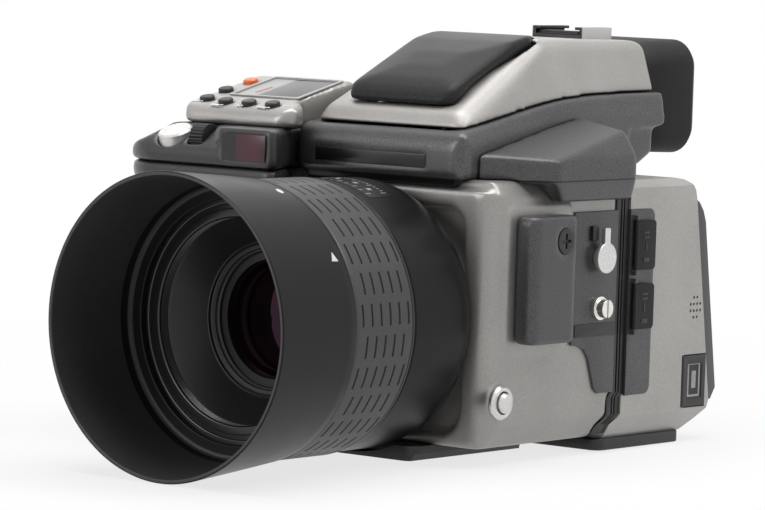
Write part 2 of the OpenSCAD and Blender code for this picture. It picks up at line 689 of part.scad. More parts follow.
module push_button(x, y) {
    on_panel(x, y) rotate_extrude($fn = 48) polygon([[0, -2.4], [button_r, -2.4], [button_r, 0.8],
        [button_r - 0.4, 1.2], [0, 1.3]]);
}

module power_button() {
    color([0.9, 0.4, 0.2]) push_button(-72.4, panel_y1 + 25);
}

module panel_button_1() {
    color([0.08, 0.08, 0.085]) push_button(-72, panel_y1 + 2);
}

module panel_button_2() {
    color([0.08, 0.08, 0.085]) push_button(-73.2, panel_y1 + 13);
}

module panel_button_3() {
    color([0.08, 0.08, 0.085]) push_button(-62, panel_y1);
}

module panel_button_4() {
    color([0.08, 0.08, 0.085]) push_button(-51.6, panel_y1);
}

module panel_button_5() {
    color([0.08, 0.08, 0.085]) push_button(-41.2, panel_y1);
}

module back_seal() {
    color([0.06, 0.06, 0.065]) difference() {
        intersection() {
            along_x(-body_left + 0.6, body_right - 0.4) polygon(concat(joint_edge(0), [[seal_y - 6.6, plate_t],
                [back_y - 6.6, plate_t]], [for (i = [4:-1:0]) joint_edge(joint_w)[i]]));
            along_y(seal_y - 10, back_y + 1) polygon([[-body_left + 0.6, plate_t + 1], [body_right - 3.4, plate_t + 1],
                [body_right - 0.4, plate_t + 6], [body_right - 0.4, back_top - 4.6], [body_right - 4, back_top - 0.5],
                [-body_left + 0.6, back_top - 0.5]]);
        }
        along_y(seal_y - 1, back_y + 1) polygon(rounded(-30, axis_z - 24, 30, axis_z + 24, 2));
        for (d = [0.36, 0.58])
            along_x(body_right - 1.6, body_right + 1) polygon(concat(joint_edge(joint_w * d),
                [for (i = [5:-1:0]) joint_edge(joint_w * d + 0.7)[i]]));
    }
}

module back_solid() {
    intersection() {
        along_x(back_left, back_right) polygon(concat([for (p = joint_edge(joint_w)) [p[0], max(p[1], 4)]],
            [[back_end - 12, 4], [back_end - 6, 7.6], [back_end - 1.4, 11], [back_end, back_low],
            [back_face(84), 84], [back_face(84) - 0.9, back_top - 4.4], [back_face(84) - 2.8, back_top - 2],
            [back_face(84) - 5.6, back_top - 0.6], [back_face(84) - 10, back_top], [back_y, top_z + 2]]));
        along_y(seal_y - 10, back_end + 1) polygon([[back_left + 4, 4], [back_right - 4, 4],
            [back_right, 11.4], [back_right, back_top - 2.6], [back_right - 2.6, back_top],
            [back_left + 2.6, back_top], [back_left, back_top - 2.6], [back_left, 10.5]]);
    }
}

module back_shell() {
    color([0.67, 0.65, 0.63]) {
        back_case();
        rod_z(door_z0, door_z1, door_x, door_hinge_y, 0.55);
    }
}

module back_case() {
    difference() {
        back_solid();
        along_y(back_y - 1, back_y + 9) polygon(rounded(-30, axis_z - 24, 30, axis_z + 24, 2));
        along_x(back_right - 1.2, back_right + 1) polygon(concat([[back_y - 1, 82], [back_y - 1, 18.6]],
            arc(back_y + strip_w - 3, 21.6, 3, -90, 0, 6), arc(back_y + strip_w - 3, 79, 3, 0, 90, 6)));
        box(back_right - 3.4, back_right + 1, door_y0, door_y1, door_z0, door_z1);
        for (r = [0:3])
            for (c = [0:(r == 0 || r == 3 ? 1 : 3)])
                rod_x(back_right - 0.9, back_right + 1,
                    back_end - 10 + (c - (r == 0 || r == 3 ? 0.5 : 1.5)) * 1.9, 46.8 + (r - 1.5) * 2.3, 0.55);
    }
}

module sensor() {
    color([0.12, 0.3, 0.28]) union() {
        box(-29.5, 29.5, back_y + 6, back_y + 9, axis_z - 23.5, axis_z + 23.5);
        box(-26, 26, seal_y + 5, back_y + 6, axis_z - 20, axis_z + 20);
    }
}

module sensor_filter() {
    color([0.5, 0.7, 0.75]) box(-25, 25, seal_y + 3.4, seal_y + 5, axis_z - 19, axis_z + 19);
}

module rear_cover() {
    color([0.24, 0.24, 0.25]) difference() {
        along_x(back_left + 1, back_right - 1) polygon([[back_end, back_low], [back_end + cover_swell - 3.4, back_low],
            [back_face(18) + cover_swell, 18], [back_face(cover_z1) + cover_swell, cover_z1],
            [back_face(80) + cover_swell - 1, 80], [back_face(83) + cover_swell - 3, 83],
            [back_face(84) + 1.4, 84], [back_face(84), 84]]);
        on_cover(-8, 26) box(-31, 31, -22, 22, -1, 5);
        on_cover(34, 26) rod_z(-2.6, 5, 0, 0, 7 + run_fit);
        on_cover(34, 11) rod_z(-2.6, 5, 0, 0, 3.2 + run_fit);
        on_cover(34, 41) rod_z(-2.6, 5, 0, 0, 3.2 + run_fit);
    }
}

module rear_screen() {
    color([0.05, 0.06, 0.07]) on_cover(-8, 26) box(-30.9, 30.9, -21.9, 21.9, -1, 0.15);
}

module cover_button(s, r) {
    on_cover(34, s) rotate_extrude($fn = 48) polygon([[0, -1.6], [r, -1.6], [r, 0.6], [r - 0.4, 1], [0, 1.1]]);
}

module nav_pad() {
    color([0.1, 0.1, 0.105]) cover_button(26, 7);
}

module rear_button_1() {
    color([0.1, 0.1, 0.105]) cover_button(11, 3.2);
}

module rear_button_2() {
    color([0.1, 0.1, 0.105]) cover_button(41, 3.2);
}

module hinge_pin(x, y, z0, z1) {
    rod_z(z0, z1, x, y, 0.55);
    box(x - 1.6, x + 0.8, y - 0.8, y + 0.8, z0 - 1.4, z0);
    box(x - 1.6, x + 0.8, y - 0.8, y + 0.8, z1, z1 + 1.4);
}

module connector_strip() {
    color([0.2, 0.2, 0.21]) {
        along_x(back_right - 1.2, back_right + 0.2) polygon(concat([[back_y, 82], [back_y, 18.6]],
            arc(back_y + strip_w - 3, 21.6, 3, -90, 0, 6), arc(back_y + strip_w - 3, 79, 3, 0, 90, 6)));
        hinge_pin(back_right + 1.4, port_y, 61, 78.6);
        hinge_pin(back_right + 1.4, port_y, 40.8, 57);
    }
}

module port_cover(z0, z1) {
    difference() {
        union() {
            rod_z(z0 + free_gap, z1 - free_gap, back_right + 1.4, port_y, 1.1 - 0.25);
            along_x(back_right + 0.2 + free_gap, back_right + 2.1) polygon(rounded(port_y, z0 + free_gap,
                port_y + 10.4, z1 - free_gap, 1.6, 4));
        }
        rod_z(z0 - 1, z1 + 1, back_right + 1.4, port_y, 0.55 + run_fit);
    }
}

module upper_port_cover() {
    color([0.07, 0.07, 0.075]) port_cover(61, 78.6);
}

module lower_port_cover() {
    color([0.07, 0.07, 0.075]) port_cover(40.8, 57);
}

module card_door() {
    color([0.06, 0.06, 0.065]) difference() {
        union() {
            rod_z(door_z0 + free_gap, door_z1 - free_gap, door_x, door_hinge_y, 0.95);
            box(door_x - 0.9, door_x + 0.9, door_hinge_y, door_y1 - free_gap, door_z0 + free_gap,
                door_z1 - free_gap);
        }
        rod_z(door_z0 - 1, door_z1 + 1, door_x, door_hinge_y, 0.55 + run_fit);
        box(door_x + 0.5, door_x + 2, door_y0 + 3.4, door_y1 - 2.4, door_z0 + 3.4, door_z1 - 3.4);
    }
}

module lens_barrel() {
    color([0.09, 0.09, 0.095]) difference() {
        turned([[27.4, flange_y - free_gap], [34.2, flange_y - free_gap], [34.2, face_y - 1.4],
            [barrel_r - 3, face_y - 1.4], [barrel_r - 1.8, face_y - 3], [barrel_r - 0.6, face_y - 6],
            [barrel_r, face_y - 10], [barrel_r, barrel_y], [tube_r, barrel_y],
            [tube_r, ring_y], [tube_r - 2, ring_y], [tube_r - 2, barrel_y + 6],
            [tube_r - 5, barrel_y + 6], [tube_r - 5, face_y - 5], [27.4, face_y - 5]]);
        intersection() {
            turned([[barrel_r - 0.6, barrel_y + 5], [barrel_r + 2, barrel_y + 5],
                [barrel_r + 2, barrel_y + 17], [barrel_r - 0.6, barrel_y + 17]]);
            sector(62, 118, barrel_y, barrel_y + 30, 60);
        }
    }
}

module lens_bayonet() {
    color([0.76, 0.76, 0.77]) union() {
        turned([[27.4, flange_y - free_gap], [31 - run_fit, flange_y - free_gap],
            [31 - run_fit, front_y + 2.6], [27.4, front_y + 2.6]]);
        for (a = [0:90:270])
            intersection() {
                turned([[31 - run_fit - 0.5, front_y + free_gap], [33.8, front_y + free_gap],
                    [33.8, front_y + 2.4], [31 - run_fit - 0.5, front_y + 2.4]]);
                sector(a - 19, a + 19, front_y, front_y + 3, 40);
            }
    }
}

module lens_front_ring() {
    color([0.07, 0.07, 0.075]) difference() {
        turned([[filter_r, nose_y], [nose_r, nose_y], [nose_r, nose_y + 1], [nose_r - 1.4, nose_y + 1],
            [nose_r - 1.4, nose_y + 3], [nose_r, nose_y + 3], [nose_r, ring_y], [tube_r - 2, ring_y],
            [tube_r - 2, ring_y + 17], [filter_r - 14, ring_y + 17], [filter_r - 14, ring_y + 13.5],
            [filter_r - 11.5, ring_y + 13.5], [filter_r - 11.5, ring_y + 11.5], [filter_r - 8.8, ring_y + 11.5],
            [filter_r - 8.8, ring_y + 10], [filter_r - 0.5, ring_y], [filter_r, ring_y]]);
        for (a = [30:120:270])
            intersection() {
                turned([[nose_r - 1.4, nose_y - 1], [nose_r + 1, nose_y - 1], [nose_r + 1, nose_y + 2],
                    [nose_r - 1.4, nose_y + 2]]);
                sector(a - 9, a + 9, nose_y - 2, nose_y + 3, 60);
            }
    }
}

module lens_elements() {
    color([0.35, 0.3, 0.45]) {
        turned(concat([[0, ring_y + 25], [filter_r - 11.5, ring_y + 25], [filter_r - 11.5, ring_y + 17],
            [filter_r - 14.5, ring_y + 17]],
            [for (i = [1:6]) [(filter_r - 14.5) * cos(i * 15), ring_y + 17 - 3.4 * sin(i * 15)]]));
        turned(concat([[0, face_y - 8], [29, face_y - 8], [29, face_y - 5], [27, face_y - 5]],
            [for (i = [1:6]) [27 * cos(i * 15), face_y - 5 + 2.6 * sin(i * 15)]]));
    }
}

module leaf_shutter() {
    color([0.13, 0.13, 0.14]) difference() {
        turned([[0, barrel_y + 4], [tube_r - 2.1, barrel_y + 4], [tube_r - 2.1, barrel_y + 6],
            [0, barrel_y + 6]]);
        along_y(barrel_y + 3, barrel_y + 7) translate([0, axis_z]) circle(r = 10, $fn = 8);
    }
}

module focus_ring() {
    color([0.2, 0.2, 0.21]) turned([[tube_r + run_fit, ring_y + free_gap], [ring_r - 0.8, ring_y + free_gap],
        [ring_r, ring_y + free_gap + 0.8], [ring_r, barrel_y - free_gap - 0.8],
        [ring_r - 0.8, barrel_y - free_gap], [tube_r + run_fit, barrel_y - free_gap]]);
}

module lens_hood() {
    color([0.07, 0.07, 0.075]) union() {
        turned([[nose_r + run_fit, ring_y], [hood_back_r - 0.4, ring_y], [hood_back_r, ring_y - 0.4],
            [hood_front_r, hood_y + 0.6], [hood_front_r - 0.5, hood_y], [hood_front_r - 1.5, hood_y],
            [hood_front_r - 1.9, hood_y + 0.6], [hood_back_r - 1.6, nose_y - 2.4],
            [nose_r - 1.3, nose_y - 2.4], [nose_r - 1.3, nose_y - free_gap],
            [nose_r + run_fit, nose_y - free_gap]]);
        for (a = [0:120:240])
            intersection() {
                turned([[nose_r - 1, nose_y + 1 + free_gap], [nose_r + 0.5, nose_y + 1 + free_gap],
                    [nose_r + 0.5, nose_y + 3 - free_gap], [nose_r - 1, nose_y + 3 - free_gap]]);
                sector(a - 7, a + 7, nose_y, nose_y + 4, 60);
            }
    }
}

base_plate();
rear_foot();
body_shell();
lens_mount_ring();
focusing_screen();
mirror_pin();
reflex_mirror();  // mirror
side_plate();
accessory_block();
accessory_screw();
strap_lugs();
sync_socket();
release_collar();
lens_release_button();
shoulder_cover();
finder_base();
finder_shell();
prism();
eyepiece_lens();
eyecup();
hot_shoe();
flash_pin();
flash_lid();
flash_window();
grip_top();
battery_grip();
control_panel();
panel_window();
lamp_window();
shutter_button();
front_wheel();
rear_wheel();
power_button();
panel_button_1();
panel_button_2();
panel_button_3();
panel_button_4();
panel_button_5();
back_seal();
back_shell();
rear_cover();
rear_screen();
nav_pad();
rear_button_1();
rear_button_2();
sensor();
sensor_filter();
connector_strip();
upper_port_cover();
lower_port_cover();
card_door();
lens_barrel();
lens_bayonet();
lens_front_ring();
lens_elements();
leaf_shutter();
focus_ring();
lens_hood();
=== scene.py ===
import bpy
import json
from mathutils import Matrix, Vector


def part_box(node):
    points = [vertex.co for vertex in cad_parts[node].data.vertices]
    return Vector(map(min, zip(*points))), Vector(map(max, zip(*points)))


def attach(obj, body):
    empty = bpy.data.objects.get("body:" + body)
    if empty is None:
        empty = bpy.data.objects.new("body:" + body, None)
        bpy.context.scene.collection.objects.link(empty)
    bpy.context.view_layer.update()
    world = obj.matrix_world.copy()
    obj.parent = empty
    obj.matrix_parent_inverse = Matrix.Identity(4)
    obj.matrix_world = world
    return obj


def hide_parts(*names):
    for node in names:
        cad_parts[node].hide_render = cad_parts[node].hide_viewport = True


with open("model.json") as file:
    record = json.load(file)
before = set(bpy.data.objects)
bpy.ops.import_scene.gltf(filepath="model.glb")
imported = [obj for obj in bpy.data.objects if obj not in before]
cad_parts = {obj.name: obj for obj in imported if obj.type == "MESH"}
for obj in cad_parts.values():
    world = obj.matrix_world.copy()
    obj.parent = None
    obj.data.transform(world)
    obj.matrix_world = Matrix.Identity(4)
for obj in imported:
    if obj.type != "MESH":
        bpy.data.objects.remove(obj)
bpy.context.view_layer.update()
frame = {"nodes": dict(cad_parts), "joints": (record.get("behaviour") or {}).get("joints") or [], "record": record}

import json
import math
import bpy
import bmesh
from mathutils import Matrix, Vector

# All sizes and places below are in millimetres, in the part's own frame, unless a comment says otherwise.
MM = 0.001
NODE = frame["nodes"]


def box_mm(node):
    """Lowest and highest corner of a CAD node."""
    low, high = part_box(node)
    return low / MM, high / MM


def radius_of(node):
    """Outer radius of a CAD node that is turned round the lens axis."""
    low, high = box_mm(node)
    return max(high.x, -low.x, high.z - AXIS_Z, AXIS_Z - low.z)


MOUNT = {m["name"]: m for m in frame["record"]["mounts"]}
AXIS_Z = MOUNT["filter_thread"]["pos_m"][2] / MM
THREAD_R = MOUNT["filter_thread"]["dims"]["r_mm"]
SHOE_FLOOR = MOUNT["hot_shoe"]["pos_m"][2] / MM
JOINT = {j["name"]: j for j in frame["joints"]}
PORT_HINGE_Y = JOINT["upper_port_open"]["pos_m"][1] / MM
HOOD_MOUTH = box_mm("lens_hood")[0].y
HOOD_BACK = box_mm("lens_hood")[1].y
FRONT_RING_BACK = box_mm("lens_front_ring")[1].y
BARREL_FRONT = box_mm("lens_barrel")[0].y
BARREL_BACK = box_mm("lens_barrel")[1].y
BARREL_R = radius_of("lens_barrel")
RING_R = radius_of("focus_ring")
FINDER_FRONT = box_mm("finder_base")[0].y
SIDE_PLATE_X = box_mm("side_plate")[1].x


# nodes that the materials are made of

NOISE_MID = (0.3, 0.7)          # a noise node mostly stays between these


def blank(name):
    """A new node material, its tree and its shader."""
    m = bpy.data.materials.new(name)
    m.use_nodes = True
    return m, m.node_tree, m.node_tree.nodes["Principled BSDF"]


def add_node(nt, kind, **inputs):
    n = nt.nodes.new("ShaderNode" + kind)
    for k, v in inputs.items():
        n.inputs[k].default_value = v
    return n


def coords(nt):
    return nt.nodes.new("ShaderNodeTexCoord").outputs["Object"]


def split(nt, vector):
    """X, Y and Z of a vector."""
    n = nt.nodes.new("ShaderNodeSeparateXYZ")
    nt.links.new(vector, n.inputs[0])
    return n.outputs


def calc(nt, operation, *values):
    """A Math node on sockets or plain numbers."""
    n = nt.nodes.new("ShaderNodeMath")
    n.operation = operation
    for sock, v in zip(n.inputs, values):
        if isinstance(v, (int, float)):
            sock.default_value = v
        else:
            nt.links.new(v, sock)
    return n.outputs[0]


def vector_calc(nt, operation, a, b=None):
    """A Vector Math node on a socket, with a fixed second vector where it needs one."""
    n = nt.nodes.new("ShaderNodeVectorMath")
    n.operation = operation
    nt.links.new(a, n.inputs[0])
    if b is not None:
        n.inputs[1].default_value = b
    return n.outputs


def map_range(nt, value, low, high, to_low=0.0, to_high=1.0, curve="LINEAR"):
    n = add_node(nt, "MapRange", **{"From Min": low, "From Max": high, "To Min": to_low, "To Max": to_high})
    n.interpolation_type = curve
    nt.links.new(value, n.inputs["Value"])
    return n.outputs["Result"]


def noise(nt, vector, scale, detail=2.0):
    n = add_node(nt, "TexNoise", Scale=scale, Detail=detail)
    nt.links.new(vector, n.inputs["Vector"])
    return n.outputs["Fac"]


def ramp(nt, value, stops):
    """A colour ramp through (place from 0 to 1, colour) stops."""
    n = nt.nodes.new("ShaderNodeValToRGB")
    for mark, (pos, col) in zip(n.color_ramp.elements, (stops[0], stops[-1])):
        mark.position = pos
        mark.color = (*col, 1)
    for pos, col in stops[1:-1]:
        n.color_ramp.elements.new(pos).color = (*col, 1)
    nt.links.new(value, n.inputs["Fac"])
    return n.outputs["Color"]


def sees_background(nt):
    """Share of a ray that shows the plain background: seen directly, mirrored or through glass."""
    path = nt.nodes.new("ShaderNodeLightPath").outputs
    mirrored = calc(nt, "MAXIMUM", path["Is Camera Ray"], path["Is Glossy Ray"])
    return calc(nt, "MAXIMUM", mirrored, path["Is Transmission Ray"])


# kinds of finish

SPECKLE = (0.35, 0.65)          # noise values where the dark and the light tone of a speckle begin
SPECKLE_DETAIL = 3.0
BROAD_SCALE = 38.0              # per metre
BROAD_TONE = 0.06               # share by which the tone wanders
GRAIN = 0.0002                  # height of the grain in metres
# painted shade along seams and a crease: its dark colour
SEAM_SHADE = (0.012, 0.012, 0.0125)
SEAM_SHADE_FADE = (0.6, 1.4)          # the painted seam shade fades between these shares of its width
GLASS_SCALE = 40.0              # noise that makes a clear glass's roughness wander, per metre
GLASS_WANDER = 0.02
TINT_SCALE = 90.0               # the same for a finish that changes along an axis
TINT_WANDER = 0.01


def paint(name, dark, light, scale, rough, metal=0.0, bump=0.0, spec=0.5):
    """A finish with a fine speckle, a broad uneven tone and a roughness that wanders."""
    m, nt, bsdf = blank(name)
    co = coords(nt)
    fine = noise(nt, co, scale, SPECKLE_DETAIL)
    wide = noise(nt, co, BROAD_SCALE)
    speckle = ramp(nt, fine, list(zip(SPECKLE, (dark, light))))
    tone = map_range(nt, wide, *NOISE_MID, 1.0 - BROAD_TONE, 1.0 + BROAD_TONE)
    colour = nt.nodes.new("ShaderNodeVectorMath")
    colour.operation = "SCALE"
    nt.links.new(speckle, colour.inputs[0])
    nt.links.new(tone, colour.inputs["Scale"])
    nt.links.new(colour.outputs["Vector"], bsdf.inputs["Base Color"])
    nt.links.new(map_range(nt, wide, *NOISE_MID, *rough), bsdf.inputs["Roughness"])
    bsdf.inputs["Metallic"].default_value = metal
    bsdf.inputs["Specular IOR Level"].default_value = spec
    if bump:
        b = add_node(nt, "Bump", Strength=bump, Distance=GRAIN)
        nt.links.new(fine, b.inputs["Height"])
        nt.links.new(b.outputs["Normal"], bsdf.inputs["Normal"])
    return m


def paint_seam_shade(m, line, wide, both=False):
    """Darkens a paint below a line drawn in (y, z), or only beside it: painted shade in the gap where one moulding
    meets another, or in a crease.
    """
    nt = m.node_tree
    base = nt.nodes["Principled BSDF"].inputs["Base Color"]
    painted = base.links[0].from_socket
    at = split(nt, coords(nt))
    (y0, z0), (y1, z1) = line[0], line[-1]
    along = map_range(nt, at["Y"], y0 * MM, y1 * MM)
    rise = ramp(nt, along, [((y - y0) / (y1 - y0), [(z - z0) / (z1 - z0)] * 3) for y, z in line])
    height = map_range(nt, rise, 0.0, 1.0, z0 * MM, z1 * MM)
    gap = calc(nt, "SUBTRACT", at["Z"], height)
    if both:
        gap = calc(nt, "ABSOLUTE", gap)
    near, far = (wide * share * MM for share in SEAM_SHADE_FADE)
    mix = nt.nodes.new("ShaderNodeMix")
    mix.data_type = "RGBA"
    colour_in = {k.name: k for k in mix.inputs if k.type == "RGBA"}
    colour_out = [k for k in mix.outputs if k.type == "RGBA"][0]
    nt.links.new(map_range(nt, gap, near, far, 1.0, 0.0), mix.inputs["Factor"])
    nt.links.new(painted, colour_in["A"])
    colour_in["B"].default_value = (*SEAM_SHADE, 1)
    nt.links.new(colour_out, base)


def glass(name, tint, rough):
    """Clear glass whose roughness wanders a little."""
    m, nt, bsdf = blank(name)
    wander = map_range(nt, noise(nt, coords(nt), GLASS_SCALE), 0.0, 1.0, rough, rough + GLASS_WANDER)
    nt.links.new(wander, bsdf.inputs["Roughness"])
    bsdf.inputs["Base Color"].default_value = (*tint, 1)
    bsdf.inputs["Transmission Weight"].default_value = 1.0
    bsdf.inputs["IOR"].default_value = 1.5
    return m


def by_axis(name, axis, stops, rough, coat=0.0):
    """A finish whose colour changes along one axis of the part, at (place, colour) stops."""
    m, nt, bsdf = blank(name)
    co = coords(nt)
    low, high = stops[0][0], stops[-1][0]
    span = map_range(nt, split(nt, co)[axis], low * MM, high * MM)
    colour = ramp(nt, span, [((pos - low) / (high - low), col) for pos, col in stops])
    nt.links.new(colour, bsdf.inputs["Base Color"])
    wander = map_range(nt, noise(nt, co, TINT_SCALE), 0.0, 1.0, rough, rough + TINT_WANDER)
    nt.links.new(wander, bsdf.inputs["Roughness"])
    bsdf.inputs["Coat Weight"].default_value = coat
    bsdf.inputs["Coat Roughness"].default_value = 0.05
    return m


def front_glass(name, near_r, far_r):
    """Coated lens glass: nearly black, turning wine red between two radii from the lens axis, a painted glint
    towards its rim.
    """
    m, nt, bsdf = blank(name)
    at = split(nt, coords(nt))
    flat = nt.nodes.new("ShaderNodeCombineXYZ")
    nt.links.new(at["X"], flat.inputs["X"])
    nt.links.new(calc(nt, "SUBTRACT", at["Z"], AXIS_Z * MM), flat.inputs["Z"])
    radius = vector_calc(nt, "LENGTH", flat.outputs[0])["Value"]
    span = map_range(nt, radius, near_r * MM, far_r * MM)
    colour = ramp(nt, span, [(0.0, (0.0015, 0.0012, 0.0018)), (1.0, (0.004, 0.0012, 0.0025))])
    nt.links.new(colour, bsdf.inputs["Base Color"])
    bsdf.inputs["Roughness"].default_value = 0.03
    bsdf.inputs["Specular IOR Level"].default_value = 0.3
    bsdf.inputs["Specular Tint"].default_value = (1.0, 0.42, 0.72, 1)
    return m


# painted metal of the body, finder and grip

GREY_TONES = ((0.345, 0.332, 0.318), (0.425, 0.410, 0.395))
# body: the grey's tones made darker, painted shade on the body's sides
BODY_SHADED_TONES = ((0.290, 0.279, 0.268), (0.360, 0.347, 0.334))
BASE_TONES = ((0.058, 0.058, 0.060), (0.130, 0.130, 0.135))
DARK_TONES = ((0.046, 0.046, 0.048), (0.105, 0.105, 0.109))
LID_TONES = ((0.017, 0.017, 0.0175), (0.040, 0.040, 0.041))
GRIP_TONES = ((0.030, 0.030, 0.031), (0.058, 0.058, 0.060))
GREY = paint("warm_grey_paint", *GREY_TONES, 2600, (0.34, 0.40), metal=0.55, bump=0.05)
SHELL = paint("finder_grey_paint", *GREY_TONES, 2600, (0.40, 0.46), metal=0.55, bump=0.05)
BASE = paint("finder_base_paint", *BASE_TONES, 3000, (0.30, 0.38), metal=0.45, bump=0.12)
BODY_SHADED = paint("body_grey_paint_shaded", *BODY_SHADED_TONES, 2600, (0.34, 0.40), metal=0.55, bump=0.05)
DARK = paint("dark_speckled_paint", *DARK_TONES, 3000, (0.34, 0.42), metal=0.4, bump=0.12)
SHOULDER = paint("shoulder_paint", *DARK_TONES, 3000, (0.32, 0.40), metal=0.4, bump=0.12)
LID = paint("lid_paint", *LID_TONES, 3000, (0.34, 0.40), metal=0.2, bump=0.12, spec=0.12)
GRIP = paint("dark_grip_paint", *GRIP_TONES, 3000, (0.28, 0.36), metal=0.3, bump=0.12)

# lines in (y, z) along which shade is painted: the finder shell's lower edge, the finder base's front lip and the
# shoulder's crease
SHELL_EDGE = [(-45.0, 107.55), (-37.4, 108.6), (-20.0, 111.6), (-4.0, 114.6), (8.0, 116.6), (18.0, 118.1),
              (28.0, 119.0), (40.0, 119.7), (56.0, 120.1), (79.0, 120.4)]
BASE_LIP = [(-60.0, 92.8), (-34.0, 92.8), (-33.0, 80.0), (90.0, 79.0)]
SHOULDER_CREASE = [(-60.0, 93.0), (60.0, 93.02)]
paint_seam_shade(SHELL, SHELL_EDGE, 0.8)
paint_seam_shade(BASE, BASE_LIP, 0.4)
paint_seam_shade(SHOULDER, SHOULDER_CREASE, 0.26, both=True)

# blacks: plastic, lens and rubber

BLACK = paint("matt_black", (0.008, 0.008, 0.009), (0.015, 0.015, 0.016), 1800, (0.42, 0.52), bump=0.05)
LENS = paint("satin_lens_black", (0.0070, 0.0070, 0.0073), (0.0105, 0.0105, 0.0110), 2200, (0.29, 0.35),
             bump=0.03, spec=0.14)
INSIDE = paint("dull_inside_black", (0.010, 0.0095, 0.0098), (0.015, 0.0145, 0.0148), 2200, (0.34, 0.42),
               bump=0.03)
HOLLOW = paint("hood_inside_black", (0.024, 0.0229, 0.0235), (0.035, 0.0337, 0.0343), 1600, (0.46, 0.54),
               bump=0.04)
RIM = paint("gloss_ring_black", (0.007, 0.007, 0.0073), (0.010, 0.010, 0.0105), 1500, (0.16, 0.22))
RUBBER = paint("matt_rubber", (0.006, 0.006, 0.0062), (0.010, 0.010, 0.0104), 2400, (0.58, 0.68),
               bump=0.10, spec=0.3)
COVER = paint("port_rubber", (0.008, 0.008, 0.0083), (0.014, 0.014, 0.0145), 2600, (0.46, 0.56),
              bump=0.10, spec=0.2)
SEAL = paint("seal_black", (0.005, 0.005, 0.0055), (0.010, 0.010, 0.0105), 2400, (0.40, 0.50), bump=0.05)
RING = paint("focus_rubber", (0.030, 0.030, 0.031), (0.046, 0.046, 0.048), 2400, (0.40, 0.50), bump=0.06)
# a darker copy of the focus rubber for the grooves' bottoms: painted shade in the grooves
GROOVE_SHADE = paint("ring_groove_shade", (0.010, 0.010, 0.0105), (0.016, 0.016, 0.0165), 2400, (0.5, 0.6), bump=0.05)
GLOSS = paint("gloss_black", (0.005, 0.005, 0.0055), (0.008, 0.008, 0.0085), 600, (0.22, 0.30))

# bare metal, marks and small colours

STEEL = paint("turned_steel", (0.55, 0.55, 0.56), (0.68, 0.68, 0.69), 600, (0.22, 0.32), metal=1.0)
CHROME = paint("bright_chrome", (0.72, 0.71, 0.68), (0.82, 0.81, 0.78), 300, (0.14, 0.22), metal=1.0)
SATIN = paint("brushed_metal", (0.60, 0.59, 0.58), (0.72, 0.71, 0.70), 1400, (0.30, 0.40), metal=0.85,
              bump=0.04)
SILVER = paint("satin_silver", (0.66, 0.65, 0.64), (0.76, 0.75, 0.74), 900, (0.30, 0.38), metal=0.4)
MIRROR = paint("silvered_mirror", (0.80, 0.82, 0.85), (0.88, 0.90, 0.92), 60, (0.02, 0.04), metal=1.0)
SENSOR = paint("sensor_face", (0.02, 0.06, 0.055), (0.04, 0.10, 0.09), 500, (0.15, 0.25))
ORANGE = paint("orange_plastic", (0.76, 0.16, 0.045), (0.88, 0.21, 0.06), 500, (0.3, 0.4))
WHITE = paint("white_mark", (0.80, 0.80, 0.79), (0.88, 0.88, 0.87), 900, (0.45, 0.55))
# a painted reflection of a red line, for the display
RED_REFLECTION = paint("red_reflection", (0.46, 0.13, 0.14), (0.54, 0.17, 0.18), 900, (0.35, 0.45))
MARK = paint("grey_mark", (0.30, 0.30, 0.31), (0.38, 0.38, 0.39), 900, (0.4, 0.5))

# the shoe's outer faces are bright and its inside is black
SHOE_BRIGHT = (0.70, 0.70, 0.69)
SHOE_BLACK = (0.012, 0.012, 0.012)
SHOE = by_axis("shoe_steel", "X", [(-11.4, SHOE_BRIGHT), (-10.8, SHOE_BRIGHT), (-10.5, SHOE_BLACK),
                                   (10.5, SHOE_BLACK), (10.8, SHOE_BRIGHT), (11.4, SHOE_BRIGHT)], 0.30)

# windows and glass

LAMP = by_axis("lamp_glass", "X", [(-47.5, (0.004, 0.003, 0.004)), (-41.6, (0.005, 0.003, 0.004)),
                                   (-40.8, (0.055, 0.007, 0.017)), (-34.0, (0.085, 0.010, 0.025)),
                                   (-29.6, (0.060, 0.007, 0.016)), (-28.4, (0.020, 0.003, 0.007))], 0.20)
# the display: a light grey band at its left end is a painted reflection; beyond it the display is dark
SCREEN = by_axis("display_glass", "X", [(-67.0, (0.30, 0.30, 0.30)), (-60.0, (0.36, 0.36, 0.36)),
                                        (-56.5, (0.30, 0.30, 0.30)), (-55.5, (0.065, 0.067, 0.067)),
                                        (-47.0, (0.030, 0.031, 0.031)), (-38.0, (0.050, 0.052, 0.052))], 0.30)
MONITOR = by_axis("monitor_glass", "Z", [(20.0, (0.006, 0.007, 0.008)), (48.0, (0.012, 0.013, 0.014)),
                                         (76.0, (0.008, 0.009, 0.010))], 0.05, coat=0.5)
GLASS = glass("clear_glass", (0.86, 0.80, 0.92), 0.02)
DIFFUSER = glass("flash_diffuser", (0.93, 0.92, 0.88), 0.25)
FRONT = front_glass("front_glass", 6.0, 19.0)

